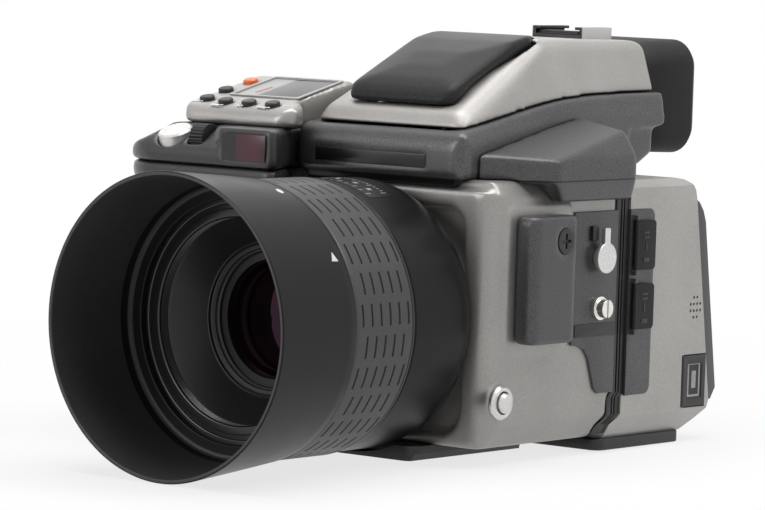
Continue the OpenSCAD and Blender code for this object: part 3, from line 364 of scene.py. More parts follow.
WEAR = {
    BODY_SHADED: ["body_shell"],
    GREY: ["control_panel", "back_shell"],
    SHELL: ["finder_shell"],
    DARK: ["side_plate", "accessory_block", "rear_cover", "connector_strip"],
    BASE: ["finder_base"],
    SHOULDER: ["shoulder_cover"],
    LID: ["flash_lid"],
    GRIP: ["grip_top", "battery_grip"],
    BLACK: ["base_plate", "rear_foot", "front_wheel", "rear_wheel", "panel_button_1", "panel_button_2",
            "panel_button_3", "panel_button_4", "panel_button_5", "nav_pad", "rear_button_1", "rear_button_2",
            "card_door", "accessory_screw"],
    LENS: ["lens_barrel", "lens_hood"],
    INSIDE: ["lens_front_ring", "leaf_shutter"],
    RUBBER: ["eyecup"],
    COVER: ["upper_port_cover", "lower_port_cover"],
    SEAL: ["back_seal"],
    RING: ["focus_ring"],
    STEEL: ["lens_mount_ring", "lens_bayonet", "mirror_pin", "flash_pin"],
    SHOE: ["hot_shoe"],
    CHROME: ["sync_socket"],
    SILVER: ["shutter_button"],
    SATIN: ["strap_lugs", "release_collar", "lens_release_button"],
    GLASS: ["focusing_screen", "prism", "eyepiece_lens", "lens_elements", "sensor_filter"],
    MIRROR: ["mirror"],
    SCREEN: ["panel_window"],
    MONITOR: ["rear_screen"],
    LAMP: ["lamp_window"],
    ORANGE: ["power_button"],
    DIFFUSER: ["flash_window"],
    SENSOR: ["sensor"],
}
for finish, names in WEAR.items():
    for n in names:
        NODE[n].data.materials.clear()
        NODE[n].data.materials.append(finish)


# edges of the solids

WELD = 2e-6                     # metres
FLAT = math.radians(0.6)        # faces that turn less than this become one
SHARP = math.radians(28)        # edges that turn more than this are rounded
SHARP_BY_PLACE = math.radians(24)
CAD_STEPS = 4                   # steps in a rounded edge
PLACED_STEPS = 5
CAD_SMOOTH = 36.0               # degrees up to which an edge is shaded smooth
MOULDED_SMOOTH = 60.0


def new_group(name, *numbers):
    """A geometry node group with its input and output nodes, and a number input for each name."""
    g = bpy.data.node_groups.new(name, "GeometryNodeTree")
    g.interface.new_socket("Geometry", in_out="INPUT", socket_type="NodeSocketGeometry")
    for n in numbers:
        g.interface.new_socket(n, in_out="INPUT", socket_type="NodeSocketFloat")
    g.interface.new_socket("Geometry", in_out="OUTPUT", socket_type="NodeSocketGeometry")
    return g, g.nodes.new("NodeGroupInput"), g.nodes.new("NodeGroupOutput")


def smooth_group():
    """Geometry nodes that shade a mesh smooth, apart from edges past an angle."""
    g, start, end = new_group("shade_by_angle", "Angle")
    faces = g.nodes.new("GeometryNodeSetShadeSmooth")
    edges = g.nodes.new("GeometryNodeSetShadeSmooth")
    edges.domain = "EDGE"
    edges.inputs["Shade Smooth"].default_value = False
    bend = g.nodes.new("GeometryNodeInputMeshEdgeAngle")
    past = g.nodes.new("FunctionNodeCompare")
    past.data_type = "FLOAT"
    past.operation = "GREATER_THAN"
    g.links.new(start.outputs["Geometry"], faces.inputs["Geometry"])
    g.links.new(faces.outputs["Geometry"], edges.inputs["Geometry"])
    g.links.new(bend.outputs["Unsigned Angle"], past.inputs["A"])
    g.links.new(start.outputs["Angle"], past.inputs["B"])
    g.links.new(past.outputs["Result"], edges.inputs["Selection"])
    g.links.new(edges.outputs["Geometry"], end.inputs["Geometry"])
    return g


SMOOTH = smooth_group()
SMOOTH_ANGLE = [s.identifier for s in SMOOTH.interface.items_tree if s.name == "Angle"][0]


def shade(o, degrees):
    m = o.modifiers.new("shade", "NODES")
    m.node_group = SMOOTH
    m[SMOOTH_ANGLE] = math.radians(degrees)


def clean_up(o):
    """Joins doubled points, and faces that lie in one plane."""
    w = o.modifiers.new("weld", "WELD")
    w.merge_threshold = WELD
    d = o.modifiers.new("clean", "DECIMATE")
    d.decimate_type = "DISSOLVE"
    d.angle_limit = FLAT


def bevel(o, width, segments, angle=None):
    """Rounds edges past an angle or, with no angle, by their own weights."""
    b = o.modifiers.new("edge", "BEVEL")
    b.width = width * MM
    b.segments = segments
    b.limit_method = "WEIGHT"
    if angle:
        b.limit_method = "ANGLE"
        b.angle_limit = angle
    return b


def soften(o, width):
    """Rounds the sharp edges and smooths the rest."""
    clean_up(o)
    if width:
        bevel(o, width, CAD_STEPS, SHARP).miter_outer = "MITER_ARC"
    shade(o, CAD_SMOOTH)


def weight_group(name, rules):
    """Geometry nodes that give each sharp edge inside one of the boxes its own share of the bevel."""
    g, start, end = new_group(name)
    bend = g.nodes.new("GeometryNodeInputMeshEdgeAngle").outputs["Unsigned Angle"]
    pos = g.nodes.new("GeometryNodeInputPosition").outputs[0]
    total = 0.0
    for low, high, share in rules:
        mid = [(a + b) / 2 * MM for a, b in zip(low, high)]
        half = [(b - a) / 2 * MM for a, b in zip(low, high)]
        off = vector_calc(g, "SUBTRACT", pos, mid)[0]
        beyond = split(g, vector_calc(g, "SUBTRACT", vector_calc(g, "ABSOLUTE", off)[0], half)[0])
        most = calc(g, "MAXIMUM", calc(g, "MAXIMUM", beyond[0], beyond[1]), beyond[2])
        inside = calc(g, "MULTIPLY", calc(g, "LESS_THAN", most, 0.0), share)
        total = calc(g, "MAXIMUM", total, inside)
    put = g.nodes.new("GeometryNodeStoreNamedAttribute")
    put.data_type = "FLOAT"
    put.domain = "EDGE"
    put.inputs["Name"].default_value = "bevel_weight_edge"
    g.links.new(start.outputs[0], put.inputs["Geometry"])
    sharp = calc(g, "GREATER_THAN", bend, SHARP_BY_PLACE)
    g.links.new(calc(g, "MULTIPLY", total, sharp), put.inputs["Value"])
    g.links.new(put.outputs["Geometry"], end.inputs[0])
    return g


def soften_by_place(o, width, rules):
    """Rounds sharp edges by a share of the width that depends on where they are."""
    clean_up(o)
    m = o.modifiers.new("weights", "NODES")
    m.node_group = weight_group(o.name + "_weights", rules)
    bevel(o, width, PLACED_STEPS).miter_outer = "MITER_ARC"
    shade(o, CAD_SMOOTH)


def melt_group(times):
    """Geometry nodes that relax a fine mesh, so that hard edges turn into soft moulded ones."""
    g, start, end = new_group("melt_%d" % times)
    pos = g.nodes.new("GeometryNodeInputPosition")
    blur = g.nodes.new("GeometryNodeBlurAttribute")
    blur.data_type = "FLOAT_VECTOR"
    blur.inputs["Iterations"].default_value = times
    put = g.nodes.new("GeometryNodeSetPosition")
    value = [k for k in blur.inputs if k.name == "Value" and k.enabled][0]
    result = [k for k in blur.outputs if k.enabled][0]
    g.links.new(pos.outputs[0], value)
    g.links.new(result, put.inputs["Position"])
    g.links.new(start.outputs[0], put.inputs["Geometry"])
    g.links.new(put.outputs["Geometry"], end.inputs[0])
    return g


def melt(o, grid, times):
    """A moulded form: a fine even mesh of the solid, relaxed a number of times."""
    r = o.modifiers.new("even", "REMESH")
    r.mode = "VOXEL"
    r.voxel_size = grid * MM
    r.use_smooth_shade = True
    m = o.modifiers.new("melt", "NODES")
    m.node_group = melt_group(times)
    shade(o, MOULDED_SMOOTH)


# moulded nodes: mesh size and how often it is relaxed
MELT = {"body_shell": (0.8, 6), "flash_lid": (0.8, 11), "shoulder_cover": (0.7, 9),
        "accessory_block": (0.7, 8), "grip_top": (0.8, 10), "control_panel": (0.7, 9),
        "battery_grip": (0.9, 8), "finder_base": (0.8, 5), "finder_shell": (0.8, 7)}
# the back shell's widest bevel, and the share of it in each box: foot, roof, left rear edge, right rear edge
BACK_BEVEL = 3.0
BACK_EDGES = [((-60, 37, 3), (60, 95, 16), 0.8), ((-60, 38, 82), (60, 95, 100), 1.0),
              ((-60, 74, 16), (-45, 95, 82), 0.7), ((48.6, 86, 16), (60, 95, 82), 0.5)]
# bevel of the other nodes; those not named keep their edges
ROUND = {"side_plate": 0.3, "rear_cover": 1.6, "connector_strip": 0.25, "base_plate": 0.5, "rear_foot": 0.5,
         "eyecup": 1.4, "hot_shoe": 0.2, "card_door": 0.25, "upper_port_cover": 0.4, "lower_port_cover": 0.4,
         "back_seal": 0.2, "rear_screen": 0.1, "panel_window": 0.1, "lamp_window": 0.2,
         "accessory_screw": 0.15, "strap_lugs": 0.35, "sync_socket": 0.3}
for n, o in NODE.items():
    if n in MELT:
        melt(o, *MELT[n])
    elif n == "back_shell":
        soften_by_place(o, BACK_BEVEL, BACK_EDGES)
    else:
        soften(o, ROUND.get(n, 0.0))


# making new pieces

PIECE_SHARP = math.radians(25)
PIECE_STEPS = 3
LIP_STEPS = 6


def piece(name, bm, mat, body, round_to=0.0, stands_for=(), smooth=30.0, more=()):
    """Turns a bmesh drawn in millimetres into a piece that rides on a body."""
    bmesh.ops.scale(bm, vec=(MM, MM, MM), verts=bm.verts)
    bmesh.ops.recalc_face_normals(bm, faces=bm.faces)
    o = bpy.data.objects.new(name, bpy.data.meshes.new(name))
    bm.to_mesh(o.data)
    bm.free()
    for m in (mat, *more):
        o.data.materials.append(m)
    bpy.context.scene.collection.objects.link(o)
    if round_to:
        bevel(o, round_to, PIECE_STEPS, PIECE_SHARP)
    shade(o, smooth)
    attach(o, body)
    if stands_for:
        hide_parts(*stands_for)


def turn(k, n):
    """Angle of step k of n round a full circle."""
    return math.radians(360 * k / n)


def outward(deg):
    """Direction straight out from the lens axis."""
    a = math.radians(deg)
    return Vector((math.cos(a), 0, math.sin(a)))


def around(r, y, deg):
    """Point at a radius and an angle round the lens axis."""
    return Vector((0, y, AXIS_Z)) + outward(deg) * r


def circle(cx, cy, r, n):
    return [(cx + r * math.cos(turn(k, n)), cy + r * math.sin(turn(k, n))) for k in range(n)]


def rrect(x0, y0, x1, y1, r, n=6):
    """Rectangle with round corners of n steps each."""
    pts = []
    corners = ((x1 - r, y0 + r), (x1 - r, y1 - r), (x0 + r, y1 - r), (x0 + r, y0 + r))
    for (cx, cy), start in zip(corners, (-90, 0, 90, 180)):
        for k in range(n + 1):
            a = math.radians(start + 90 * k / n)
            pts.append((cx + r * math.cos(a), cy + r * math.sin(a)))
    return pts


def band(bm, loops):
    """Closed band: each loop of points is joined to the next, and the last to the first."""
    rings = [[bm.verts.new(p) for p in loop] for loop in loops]
    for a, b in zip(rings, rings[1:] + rings[:1]):
        for k in range(len(a)):
            j = (k + 1) % len(a)
            bm.faces.new((a[k], a[j], b[j], b[k]))


def lathe(bm, profile, n):
    """Closed profile of (radius, y) turned round the lens axis."""
    band(bm, [[around(r, y, 360 * k / n) for k in range(n)] for r, y in profile])


def slab(bm, pts, push):
    """Closed plate: an outline and the same outline pushed along a vector."""
    low = [bm.verts.new(Vector(p)) for p in pts]
    top = [bm.verts.new(Vector(p) + Vector(push)) for p in pts]
    bm.faces.new(low[::-1])
    bm.faces.new(top)
    for k in range(len(pts)):
        j = (k + 1) % len(pts)
        bm.faces.new((low[k], low[j], top[j], top[k]))


def side_slab(bm, x, outline, thick):
    """Plate that faces +X, with its outline in (y, z)."""
    slab(bm, [(x, y, z) for y, z in outline], (thick, 0, 0))


def flat_slab(bm, z, outline, thick):
    """Plate that faces up, with its outline in (x, y)."""
    slab(bm, [(x, y, z) for x, y in outline], (0, 0, thick))


def patch(bm, r0, r1, y0, y1, a0, a1, n, mat=0):
    """Closed piece of a tube between two radii, two planes and two angles."""
    cols = []
    for k in range(n + 1):
        a = a0 + (a1 - a0) * k / n
        cols.append([bm.verts.new(around(r, y, a)) for r, y in ((r0, y0), (r1, y0), (r1, y1), (r0, y1))])
    faces = [bm.faces.new(cols[0][::-1]), bm.faces.new(cols[-1])]
    for c, d in zip(cols, cols[1:]):
        for k in range(4):
            faces.append(bm.faces.new((c[k], c[(k + 1) % 4], d[(k + 1) % 4], d[k])))
    for f in faces:
        f.material_index = mat


def lip(r, y, size):
    """Quarter round that turns from a bore to a front face."""
    arc = [math.radians(90 * k / LIP_STEPS) for k in range(LIP_STEPS + 1)]
    return [(r + size * (1 - math.cos(a)), y + size * (1 - math.sin(a))) for a in arc]


def finish_by_place(bm, pick):
    """Gives each face the finish that pick(radius, y) names by its number."""
    for f in bm.faces:
        c = f.calc_center_median()
        f.material_index = pick(math.hypot(c.x, c.z - AXIS_Z), c.y)


# lens: hood, front ring, glass and barrel, as (radius, y) profiles

HOOD_R = 46.2                   # outer radius at the back
HOOD_FLARE = 3.3                # what the mouth adds to it
HOOD_LEN = HOOD_BACK - HOOD_MOUTH
HOOD_LIP = (49.42, HOOD_BACK - 39.6)
HOOD_BORE = 39.5
SEAT_R = 40.9                   # recess behind the web that takes the front ring
HOOD_WEB = HOOD_BACK - 6.4      # front face of the web round the bore
MID_WALL_R = 44.4               # between the hood's outside and its hollow, 6 mm from the back
MID_WALL_SLOPE = 4.4 / 33.5
RING_FACE = -109.3              # front face of the ring that has the filter thread
THREAD_FACE = -108.6            # first turn of the thread
THREAD_TURNS = 9
THREAD_PITCH = 0.42
THREAD_DEPTH = 0.45
CONE_END = -104.9               # where the cone round the glass meets the thread
FLANGE_Y = -41.4                # rear face of the barrel's wide part
MOUNT_R = 34.2                  # tube that goes back from it into the camera's mount
MOUNT_BORE = 27.4
CHAMBER_R = 33.5                # hollow between the mount's bore and the front tube
CHAMBER_Y = (-68.4, -45.0)
RING_SEAT_Y = -74.4             # where the barrel steps down under the focus ring
NECK_R = 36.5                   # bore of the barrel's front tube, where the front ring sits
TUBE_R = 38.5                   # outside of that tube, under the focus ring
ON_AXIS = 0.02                  # radius at which a turned glass closes
HOOD_SIDES = 320
TURNED_SIDES = 280


def hood():
    """Profile points are given as (radius, distance from the hood's back)."""
    outside = [(SEAT_R, 0.0), (45.7, 0.0), (46.05, 0.15), (HOOD_R, 0.5), (46.5, 4.0), (47.7, 18.0),
               (49.38, 39.2)]
    mouth = [(49.3, 39.9), (49.0, HOOD_LEN), (48.4, HOOD_LEN), (48.1, 39.85), (47.95, 39.5)]
    hollow = [(46.5, 24.5), (45.1, 10.0), (44.5, 7.4), (43.9, 6.6), (43.0, 6.4)]
    seat = [(HOOD_BORE, 4.7), (39.7, 4.5), (SEAT_R, 4.5)]

    def forward(pts):
        return [(r, HOOD_BACK - d) for r, d in pts]

    def pick(r, y):
        mid_wall = MID_WALL_R + MID_WALL_SLOPE * (HOOD_BACK - 6.0 - y)
        return int(r < mid_wall and y < HOOD_WEB - 0.05)

    bm = bmesh.new()
    lathe(bm, forward(outside) + [HOOD_LIP] + forward(mouth + hollow) + lip(HOOD_BORE, HOOD_WEB, 0.6)[::-1]
          + forward(seat), HOOD_SIDES)
    finish_by_place(bm, pick)
    piece("hood_turned", bm, LENS, "lens_hood", stands_for=("lens_hood",), smooth=24,
          more=(HOLLOW,))


def front_ring():
    thread = []
    for k in range(THREAD_TURNS):
        y = THREAD_FACE + THREAD_PITCH * k
        thread += [(THREAD_R, y), (THREAD_R + THREAD_DEPTH, y + THREAD_PITCH / 2)]
    outside = [(40.5, RING_FACE), (40.8, RING_FACE + 0.3), (40.8, BARREL_FRONT - 0.1),
               (NECK_R, BARREL_FRONT - 0.1), (NECK_R, FRONT_RING_BACK)]
    steps = [(19.5, FRONT_RING_BACK), (19.5, -91.5), (22.0, -91.5), (22.0, -92.6), (22.4, -92.9),
             (22.9, -92.9), (23.2, -93.4), (24.3, -93.5), (24.7, -93.8), (24.7, -95.0), (25.0, -95.2),
             (25.4, -95.1)]
    cone = [(32.6, -104.0), (33.2, -104.6), (THREAD_R, CONE_END)]
    groove = [(36.2, RING_FACE), (36.5, RING_FACE + 0.6), (37.9, RING_FACE + 0.6)]
    bm = bmesh.new()
    lathe(bm, outside + steps + cone + thread[::-1] + lip(THREAD_R, RING_FACE, 0.7) + groove
          + lip(37.9, RING_FACE, 0.6), TURNED_SIDES)
    finish_by_place(bm, lambda r, y: int(r > THREAD_R - 0.2 and y < CONE_END + 0.1))
    piece("front_ring_turned", bm, INSIDE, "lens", stands_for=("lens_front_ring",), smooth=22,
          more=(RIM,))


def element(bm, back, rim, rim_r, dome_r, bulge, steps, sides):
    """One glass: a flat side, a rim and a dome that ends on the axis."""
    arc = [math.radians(90 * k / steps) for k in range(steps)]
    dome = [(dome_r * math.cos(a), rim + bulge * math.sin(a)) for a in arc]
    lathe(bm, [(ON_AXIS, back), (rim_r, back), (rim_r, rim)] + dome + [(ON_AXIS, rim + bulge)], sides)


def glasses():
    bm = bmesh.new()
    element(bm, back=-80.0, rim=FRONT_RING_BACK, rim_r=22.0, dome_r=19.0, bulge=-3.4, steps=12, sides=160)
    element(bm, back=-48.0, rim=-45.0, rim_r=29.0, dome_r=27.0, bulge=2.6, steps=6, sides=120)
    piece("glass_turned", bm, FRONT, "lens", stands_for=("lens_elements",), smooth=40)


def barrel():
    chamber_front, chamber_back = CHAMBER_Y
    mount = [(MOUNT_BORE, BARREL_BACK), (MOUNT_R, BARREL_BACK), (MOUNT_R, FLANGE_Y)]
    swell = [(41.4, FLANGE_Y), (42.2, -41.7), (43.1, -43.0), (43.8, -44.6), (44.3, -46.2), (44.75, -48.6),
             (BARREL_R, -51.0)]
    front = [(BARREL_R, RING_SEAT_Y + 1.2), (44.6, RING_SEAT_Y + 0.7), (44.0, RING_SEAT_Y)]
    tube = [(TUBE_R, RING_SEAT_Y), (TUBE_R, BARREL_FRONT), (NECK_R, BARREL_FRONT)]
    bore = [(NECK_R, chamber_front), (CHAMBER_R, chamber_front), (CHAMBER_R, chamber_back),
            (MOUNT_BORE, chamber_back)]
    bm = bmesh.new()
    lathe(bm, mount + swell + front + tube + bore, TURNED_SIDES)
    piece("barrel_turned", bm, LENS, "lens", stands_for=("lens_barrel",), smooth=24)


# focus ring: rows of short staggered grooves sunk in the rubber, a polished lip behind

RING_ROWS = 28
GROOVE_DEPTH = 0.4
GROOVES = [-101.2 + 2.3 * k for k in range(11)]
GROOVE_HALF = (0.34, 0.50)      # half width at the bottom and at the top
GROOVE_SPAN = (0.15, 0.85)      # part of a row that a groove takes up
ROW_STEPS = [0.0, 0.07, 0.14, 0.16, 0.33, 0.5, 0.67, 0.84, 0.86, 0.93]
RING_Y = (-104.6, -74.8)
RUBBER_Y = (-103.3, -76.6)
REAR_LIP_Y = -76.3              # the polished lip begins here
RING_INNER = 38.6


def ring_stations():
    """Places along the ring where the rubber has a line of points."""
    bottom, top = GROOVE_HALF
    ys = [RUBBER_Y[0]]
    for c in GROOVES:
        ys += [c - top, c - bottom, c + bottom, c + top]
    return ys + [RUBBER_Y[1]]


def in_groove(y, row, part):
    """True at the bottom of a groove. Odd rows have the odd grooves, even rows the even ones."""
    if not GROOVE_SPAN[0] < part < GROOVE_SPAN[1]:
        return False
    return any(abs(y - c) < sum(GROOVE_HALF) / 2 and k % 2 == row % 2 for k, c in enumerate(GROOVES))


def focus_ring():
    front, rear = RING_Y
    face = [(RING_INNER, front), (44.9, front), (45.35, front + 0.2), (45.55, front + 0.7)]
    polished = [(45.55, REAR_LIP_Y), (45.3, -76.1), (45.3, -75.9), (45.62, -75.7), (45.62, rear - 0.4),
                (45.3, rear), (RING_INNER, rear)]
    columns = []
    for row in range(RING_ROWS):
        for part in ROW_STEPS:
            rubber = [(RING_R - GROOVE_DEPTH * in_groove(y, row, part), y) for y in ring_stations()]
            deg = 360.0 * (row + part) / RING_ROWS
            columns.append([around(r, y, deg) for r, y in face + rubber + polished])

    # groove bottoms take the darker finish as painted shade; the rear lip is polished
    def pick(r, y):
        if y > REAR_LIP_Y:
            return 2
        return int(y > RUBBER_Y[0] - 0.3 and r < RING_R - 0.28)

    bm = bmesh.new()
    band(bm, columns)
    finish_by_place(bm, pick)
    piece("focus_ring_grooved", bm, RING, "focus_ring", stands_for=("focus_ring",), smooth=26,
          more=(GROOVE_SHADE, RIM))


# marks on the lens

WINDOW_R = (BARREL_R - 0.65, BARREL_R + 0.12)
WINDOW_Y = (-69.2, -57.6)
WINDOW_MARGIN = 3.0             # degrees beyond the outer ticks
SCALE_ARC = (66.0, 114.0)       # degrees of the first and the last tick
TICKS = 25
TICK_HALF = 0.22                # degrees
TICK_REAR, TICK_FRONT = -58.2, -68.6
REAR_LONG, REAR_SHORT = 2.6, 1.2
FRONT_LONG, FRONT_SHORT = 2.7, 1.8
INK = (BARREL_R, BARREL_R + 0.18)
DOTS = ((70.0, -63.4), (78.0, -63.0), (87.0, -63.4), (95.0, -63.0), (104.0, -63.4), (111.0, -63.0))
DOT_HALF_DEG, DOT_HALF = 0.9, 1.0


def distance_window():
    """Dark window with plain ticks on both edges and a row of dots between them."""
    first, last = SCALE_ARC
    bm = bmesh.new()
    patch(bm, *WINDOW_R, *WINDOW_Y, first - WINDOW_MARGIN, last + WINDOW_MARGIN, 40)
    for k in range(TICKS):
        a = first + (last - first) * k / (TICKS - 1)
        sides = (a - TICK_HALF, a + TICK_HALF)
        major = k % 4 == 0
        rear = REAR_LONG if major else REAR_SHORT
        front = FRONT_LONG if major else FRONT_SHORT
        patch(bm, *INK, TICK_REAR - rear, TICK_REAR, *sides, 2, 1)
        if k % 2 == 0:
            patch(bm, *INK, TICK_FRONT, TICK_FRONT + front, *sides, 2, 1)
    for a, y in DOTS:
        patch(bm, *INK, y - DOT_HALF, y + DOT_HALF, a - DOT_HALF_DEG, a + DOT_HALF_DEG, 3, 1)
    piece("distance_window", bm, GLOSS, "lens", more=(MARK,))


def hood_marks():
    """Index marks on the hood: a triangle and a dot, sunk a little into its cone."""
    def hood_r(y):
        return HOOD_R + HOOD_FLARE * (HOOD_BACK - y) / HOOD_LEN

    bm = bmesh.new()
    corners = ((-110.7, 32.9), (-112.4, 28.9), (-109.0, 28.9))
    slab(bm, [around(hood_r(y) - 0.12, y, a) for y, a in corners], outward(30.5) * 0.25)
    dot_deg = 67.5
    mid = around(hood_r(HOOD_WEB) - 0.1, HOOD_WEB, dot_deg)
    across = outward(dot_deg + 90) * 1.5
    along = Vector((0, 1.1, 0))
    dot = [mid + across * math.cos(turn(k, 12)) + along * math.sin(turn(k, 12)) for k in range(12)]
    slab(bm, dot, outward(dot_deg) * 0.22)
    piece("hood_marks", bm, WHITE, "lens_hood")


# bare plates where the maker's words would be

PLATE_SUNK, PLATE_PROUD = 0.65, 0.07
BADGE_SUNK, BADGE_PROUD = 0.05, 0.30


def plates():
    bm = bmesh.new()
    outline = rrect(-26.1, 96.2, 20.7, 100.8, 0.4)
    slab(bm, [(x, FINDER_FRONT + PLATE_SUNK, z) for x, z in outline], (0, -PLATE_SUNK - PLATE_PROUD, 0))
    piece("front_plate", bm, GLOSS, "camera", round_to=0.15)
    bm = bmesh.new()
    side_slab(bm, SIDE_PLATE_X - BADGE_SUNK, rrect(5.6, 39.9, 28.6, 44.3, 0.3), BADGE_SUNK + BADGE_PROUD)
    piece("side_badge", bm, SEAL, "camera", round_to=0.1)


# control panel: display frame, labels as plain dashes, a painted red reflection and dark strips on the display

PANEL_TILT = math.radians(13.3)
PANEL_AT = (-46.0, 113.8)       # a (y, z) point of the sloping face
DISPLAY_MID = (-52.5, -25.5)
DASH_THICK = 0.14
STREAK_AND_STRIP_LIFT, STREAK_AND_STRIP_THICK = 0.15, 0.16


def tilted(x, y, lift):
    """Point on the sloping control panel, raised along its normal."""
    rise = (y - PANEL_AT[0]) * math.tan(PANEL_TILT)
    return Vector((x, y - lift * math.sin(PANEL_TILT), PANEL_AT[1] + rise + lift * math.cos(PANEL_TILT)))


def panel_slab(bm, outline, lift, thick):
    normal = tilted(0, 0, 1) - tilted(0, 0, 0)
    slab(bm, [tilted(x, y, lift) for x, y in outline], normal * thick)


def around_display(half_x, half_y, r):
    x, y = DISPLAY_MID
    return rrect(x - half_x, y - half_y, x + half_x, y + half_y, r)


def display_frame():
    outer = around_display(15.6, 12.4, 1.4)
    inner = around_display(14.2, 11.2, 0.7)
    bm = bmesh.new()
    levels = ((outer, -0.2), (outer, 0.45), (inner, 0.45), (inner, 0.1))
    band(bm, [[tilted(x, y, lift) for x, y in outline] for outline, lift in levels])
    piece("display_frame", bm, GREY, "camera", round_to=0.12)


def panel_dashes():
    """Labels without words: at each place a dash of its own length, and a short one after it."""
    bm = bmesh.new()
    for x, y, w in ((-75.8, -47.0, 3.0), (-65.2, -49.9, 4.0), (-54.4, -49.0, 1.4), (-45.2, -49.4, 4.2),
                    (-36.6, -46.0, 1.2)):
        for x0, x1 in ((x, x + w), (x + w + 0.4, x + w + 1.3)):
            panel_slab(bm, rrect(x0, y - 0.5, x1, y + 0.4, 0.15, 3), -0.05, DASH_THICK)
    piece("panel_dashes", bm, WHITE, "camera")


def display_reflection_and_strips():
    """A red streak, a painted reflection of a red line, and dark strips along two sides of the display."""
    streak = [(-60.2, -33.0), (-58.9, -33.0), (-58.2, -26.0), (-59.1, -26.0)]
    left = [(-66.6, -36.4), (-65.4, -36.4), (-65.9, -14.6), (-66.6, -14.6)]
    rear = [(-66.4, -15.6), (-38.4, -15.6), (-38.4, -14.4), (-66.4, -14.4)]
    for name, outlines, mat in (("display_red_reflection", [streak], RED_REFLECTION), ("display_edge", [left, rear], GLOSS)):
        bm = bmesh.new()
        for outline in outlines:
            panel_slab(bm, outline, STREAK_AND_STRIP_LIFT, STREAK_AND_STRIP_THICK)
        piece(name, bm, mat, "camera")


# front wheel with fine teeth, smaller than its solid so that it stands lower in the grip

WHEEL_R, TOOTH_ROOT = 4.7, 4.3
WHEEL_WIDE = 5.8
AXLE_R, AXLE_LEN = 1.15, 8.0
WHEEL_POINTS = 72               # three to a tooth


def front_wheel():
    low, high = box_mm("front_wheel")
    hub = (low + high) / 2
    rim = []
    for k in range(WHEEL_POINTS):
        r = WHEEL_R if k % 3 else TOOTH_ROOT
        a = turn(k, WHEEL_POINTS)
        rim.append((hub.y + r * math.cos(a), hub.z + r * math.sin(a)))
    bm = bmesh.new()
    side_slab(bm, hub.x - WHEEL_WIDE / 2, rim, WHEEL_WIDE)
    side_slab(bm, hub.x - AXLE_LEN / 2, circle(hub.y, hub.z, AXLE_R, 24), AXLE_LEN)
    piece("front_wheel_toothed", bm, BLACK, "front_wheel", stands_for=("front_wheel",),
          smooth=50)


# hot shoe: black insert and contacts between the bright rails

CONTACTS = ((0, 67.5), (-3.4, 64.4), (3.4, 64.4), (-4.6, 70.4), (4.6, 70.4))
CONTACT_R = 1.1


def shoe():
    bm = bmesh.new()
    flat_slab(bm, SHOE_FLOOR, rrect(-9.2, 57.8, 9.2, 73.6, 0.8), 0.5)
    flat_slab(bm, SHOE_FLOOR + 0.4, rrect(-8.6, 58.4, 8.6, 62.6, 0.8), 0.9)
    piece("shoe_insert", bm, BLACK, "camera", round_to=0.2)
    bm = bmesh.new()
    for x, y in CONTACTS:
        flat_slab(bm, SHOE_FLOOR + 0.4, circle(x, y, CONTACT_R, 12), 0.35)
    piece("shoe_contacts", bm, STEEL, "camera", round_to=0.1)


# the photo's side: a black block as painted shade in the slot beside the strap lug, marks on the card door and the
# port covers

SLOT_SHADE_SUNK, SLOT_SHADE_PROUD = 0.1, 1.4
DOOR_MARK = (48.5, 48.86)       # x of the back and the front of the card door's picture
PORT_MARK_THICK = 0.2
# bars of a port's mark: y from the hinge, z from the cover's middle, width, height
PORT_BARS = ((3.2, 4.2, 3.4, 0.7), (3.2, 2.6, 3.4, 0.7), (4.4, -0.4, 0.8, 3.4), (3.4, -5.0, 3.2, 1.4))


# a black block that stands for the shade in the slot beside the strap lug
def lug_slot_shade():
    bm = bmesh.new()
    side_slab(bm, SIDE_PLATE_X - SLOT_SHADE_SUNK, rrect(12.9, 72.2, 16.2, 77.2, 0.4), SLOT_SHADE_SUNK + SLOT_SHADE_PROUD)
    piece("lug_slot_shade", bm, BLACK, "camera", round_to=0.25)


def card_mark():
    """A plain card: an outline with a bar inside."""
    outer = rrect(74.0, 15.6, 81.4, 27.6, 0.5)
    inner = rrect(74.8, 16.4, 80.6, 26.8, 0.3)
    sunk, proud = DOOR_MARK
    bm = bmesh.new()
    levels = ((outer, sunk), (outer, proud), (inner, proud), (inner, sunk))
    band(bm, [[(x, y, z) for y, z in outline] for outline, x in levels])
    side_slab(bm, sunk + 0.1, rrect(76.4, 18.6, 79.0, 24.6, 0.3), 0.26)
    piece("card_mark", bm, MARK, "card_door", round_to=0.06)


def port_mark(name, cover):
    low, high = box_mm(cover)
    mid = (low.z + high.z) / 2
    bm = bmesh.new()
    for dy, dz, w, h in PORT_BARS:
        y = PORT_HINGE_Y + dy
        z = mid + dz
        side_slab(bm, high.x - PORT_MARK_THICK, rrect(y, z - h / 2, y + w, z + h / 2, 0.3), PORT_MARK_THICK)
    piece(name, bm, SEAL, cover, round_to=0.05)


hood()
front_ring()
glasses()
barrel()
focus_ring()
distance_window()
hood_marks()
plates()
display_frame()
panel_dashes()
display_reflection_and_strips()
front_wheel()
shoe()
lug_slot_shade()
card_mark()
port_mark("upper_port_mark", "upper_port_cover")
port_mark("lower_port_mark", "lower_port_cover")


# the studio, with sizes and places in metres

FLOOR_RADIUS = 3.0
FLOOR_CLEAR = 0.0001
SHADOW_ZONE = (0.20, 0.50)      # distances between which the floor turns from shadowed to plain white
SHADOW_SHARE = 0.76             # share of plain white near the object
AMBIENT = 0.20


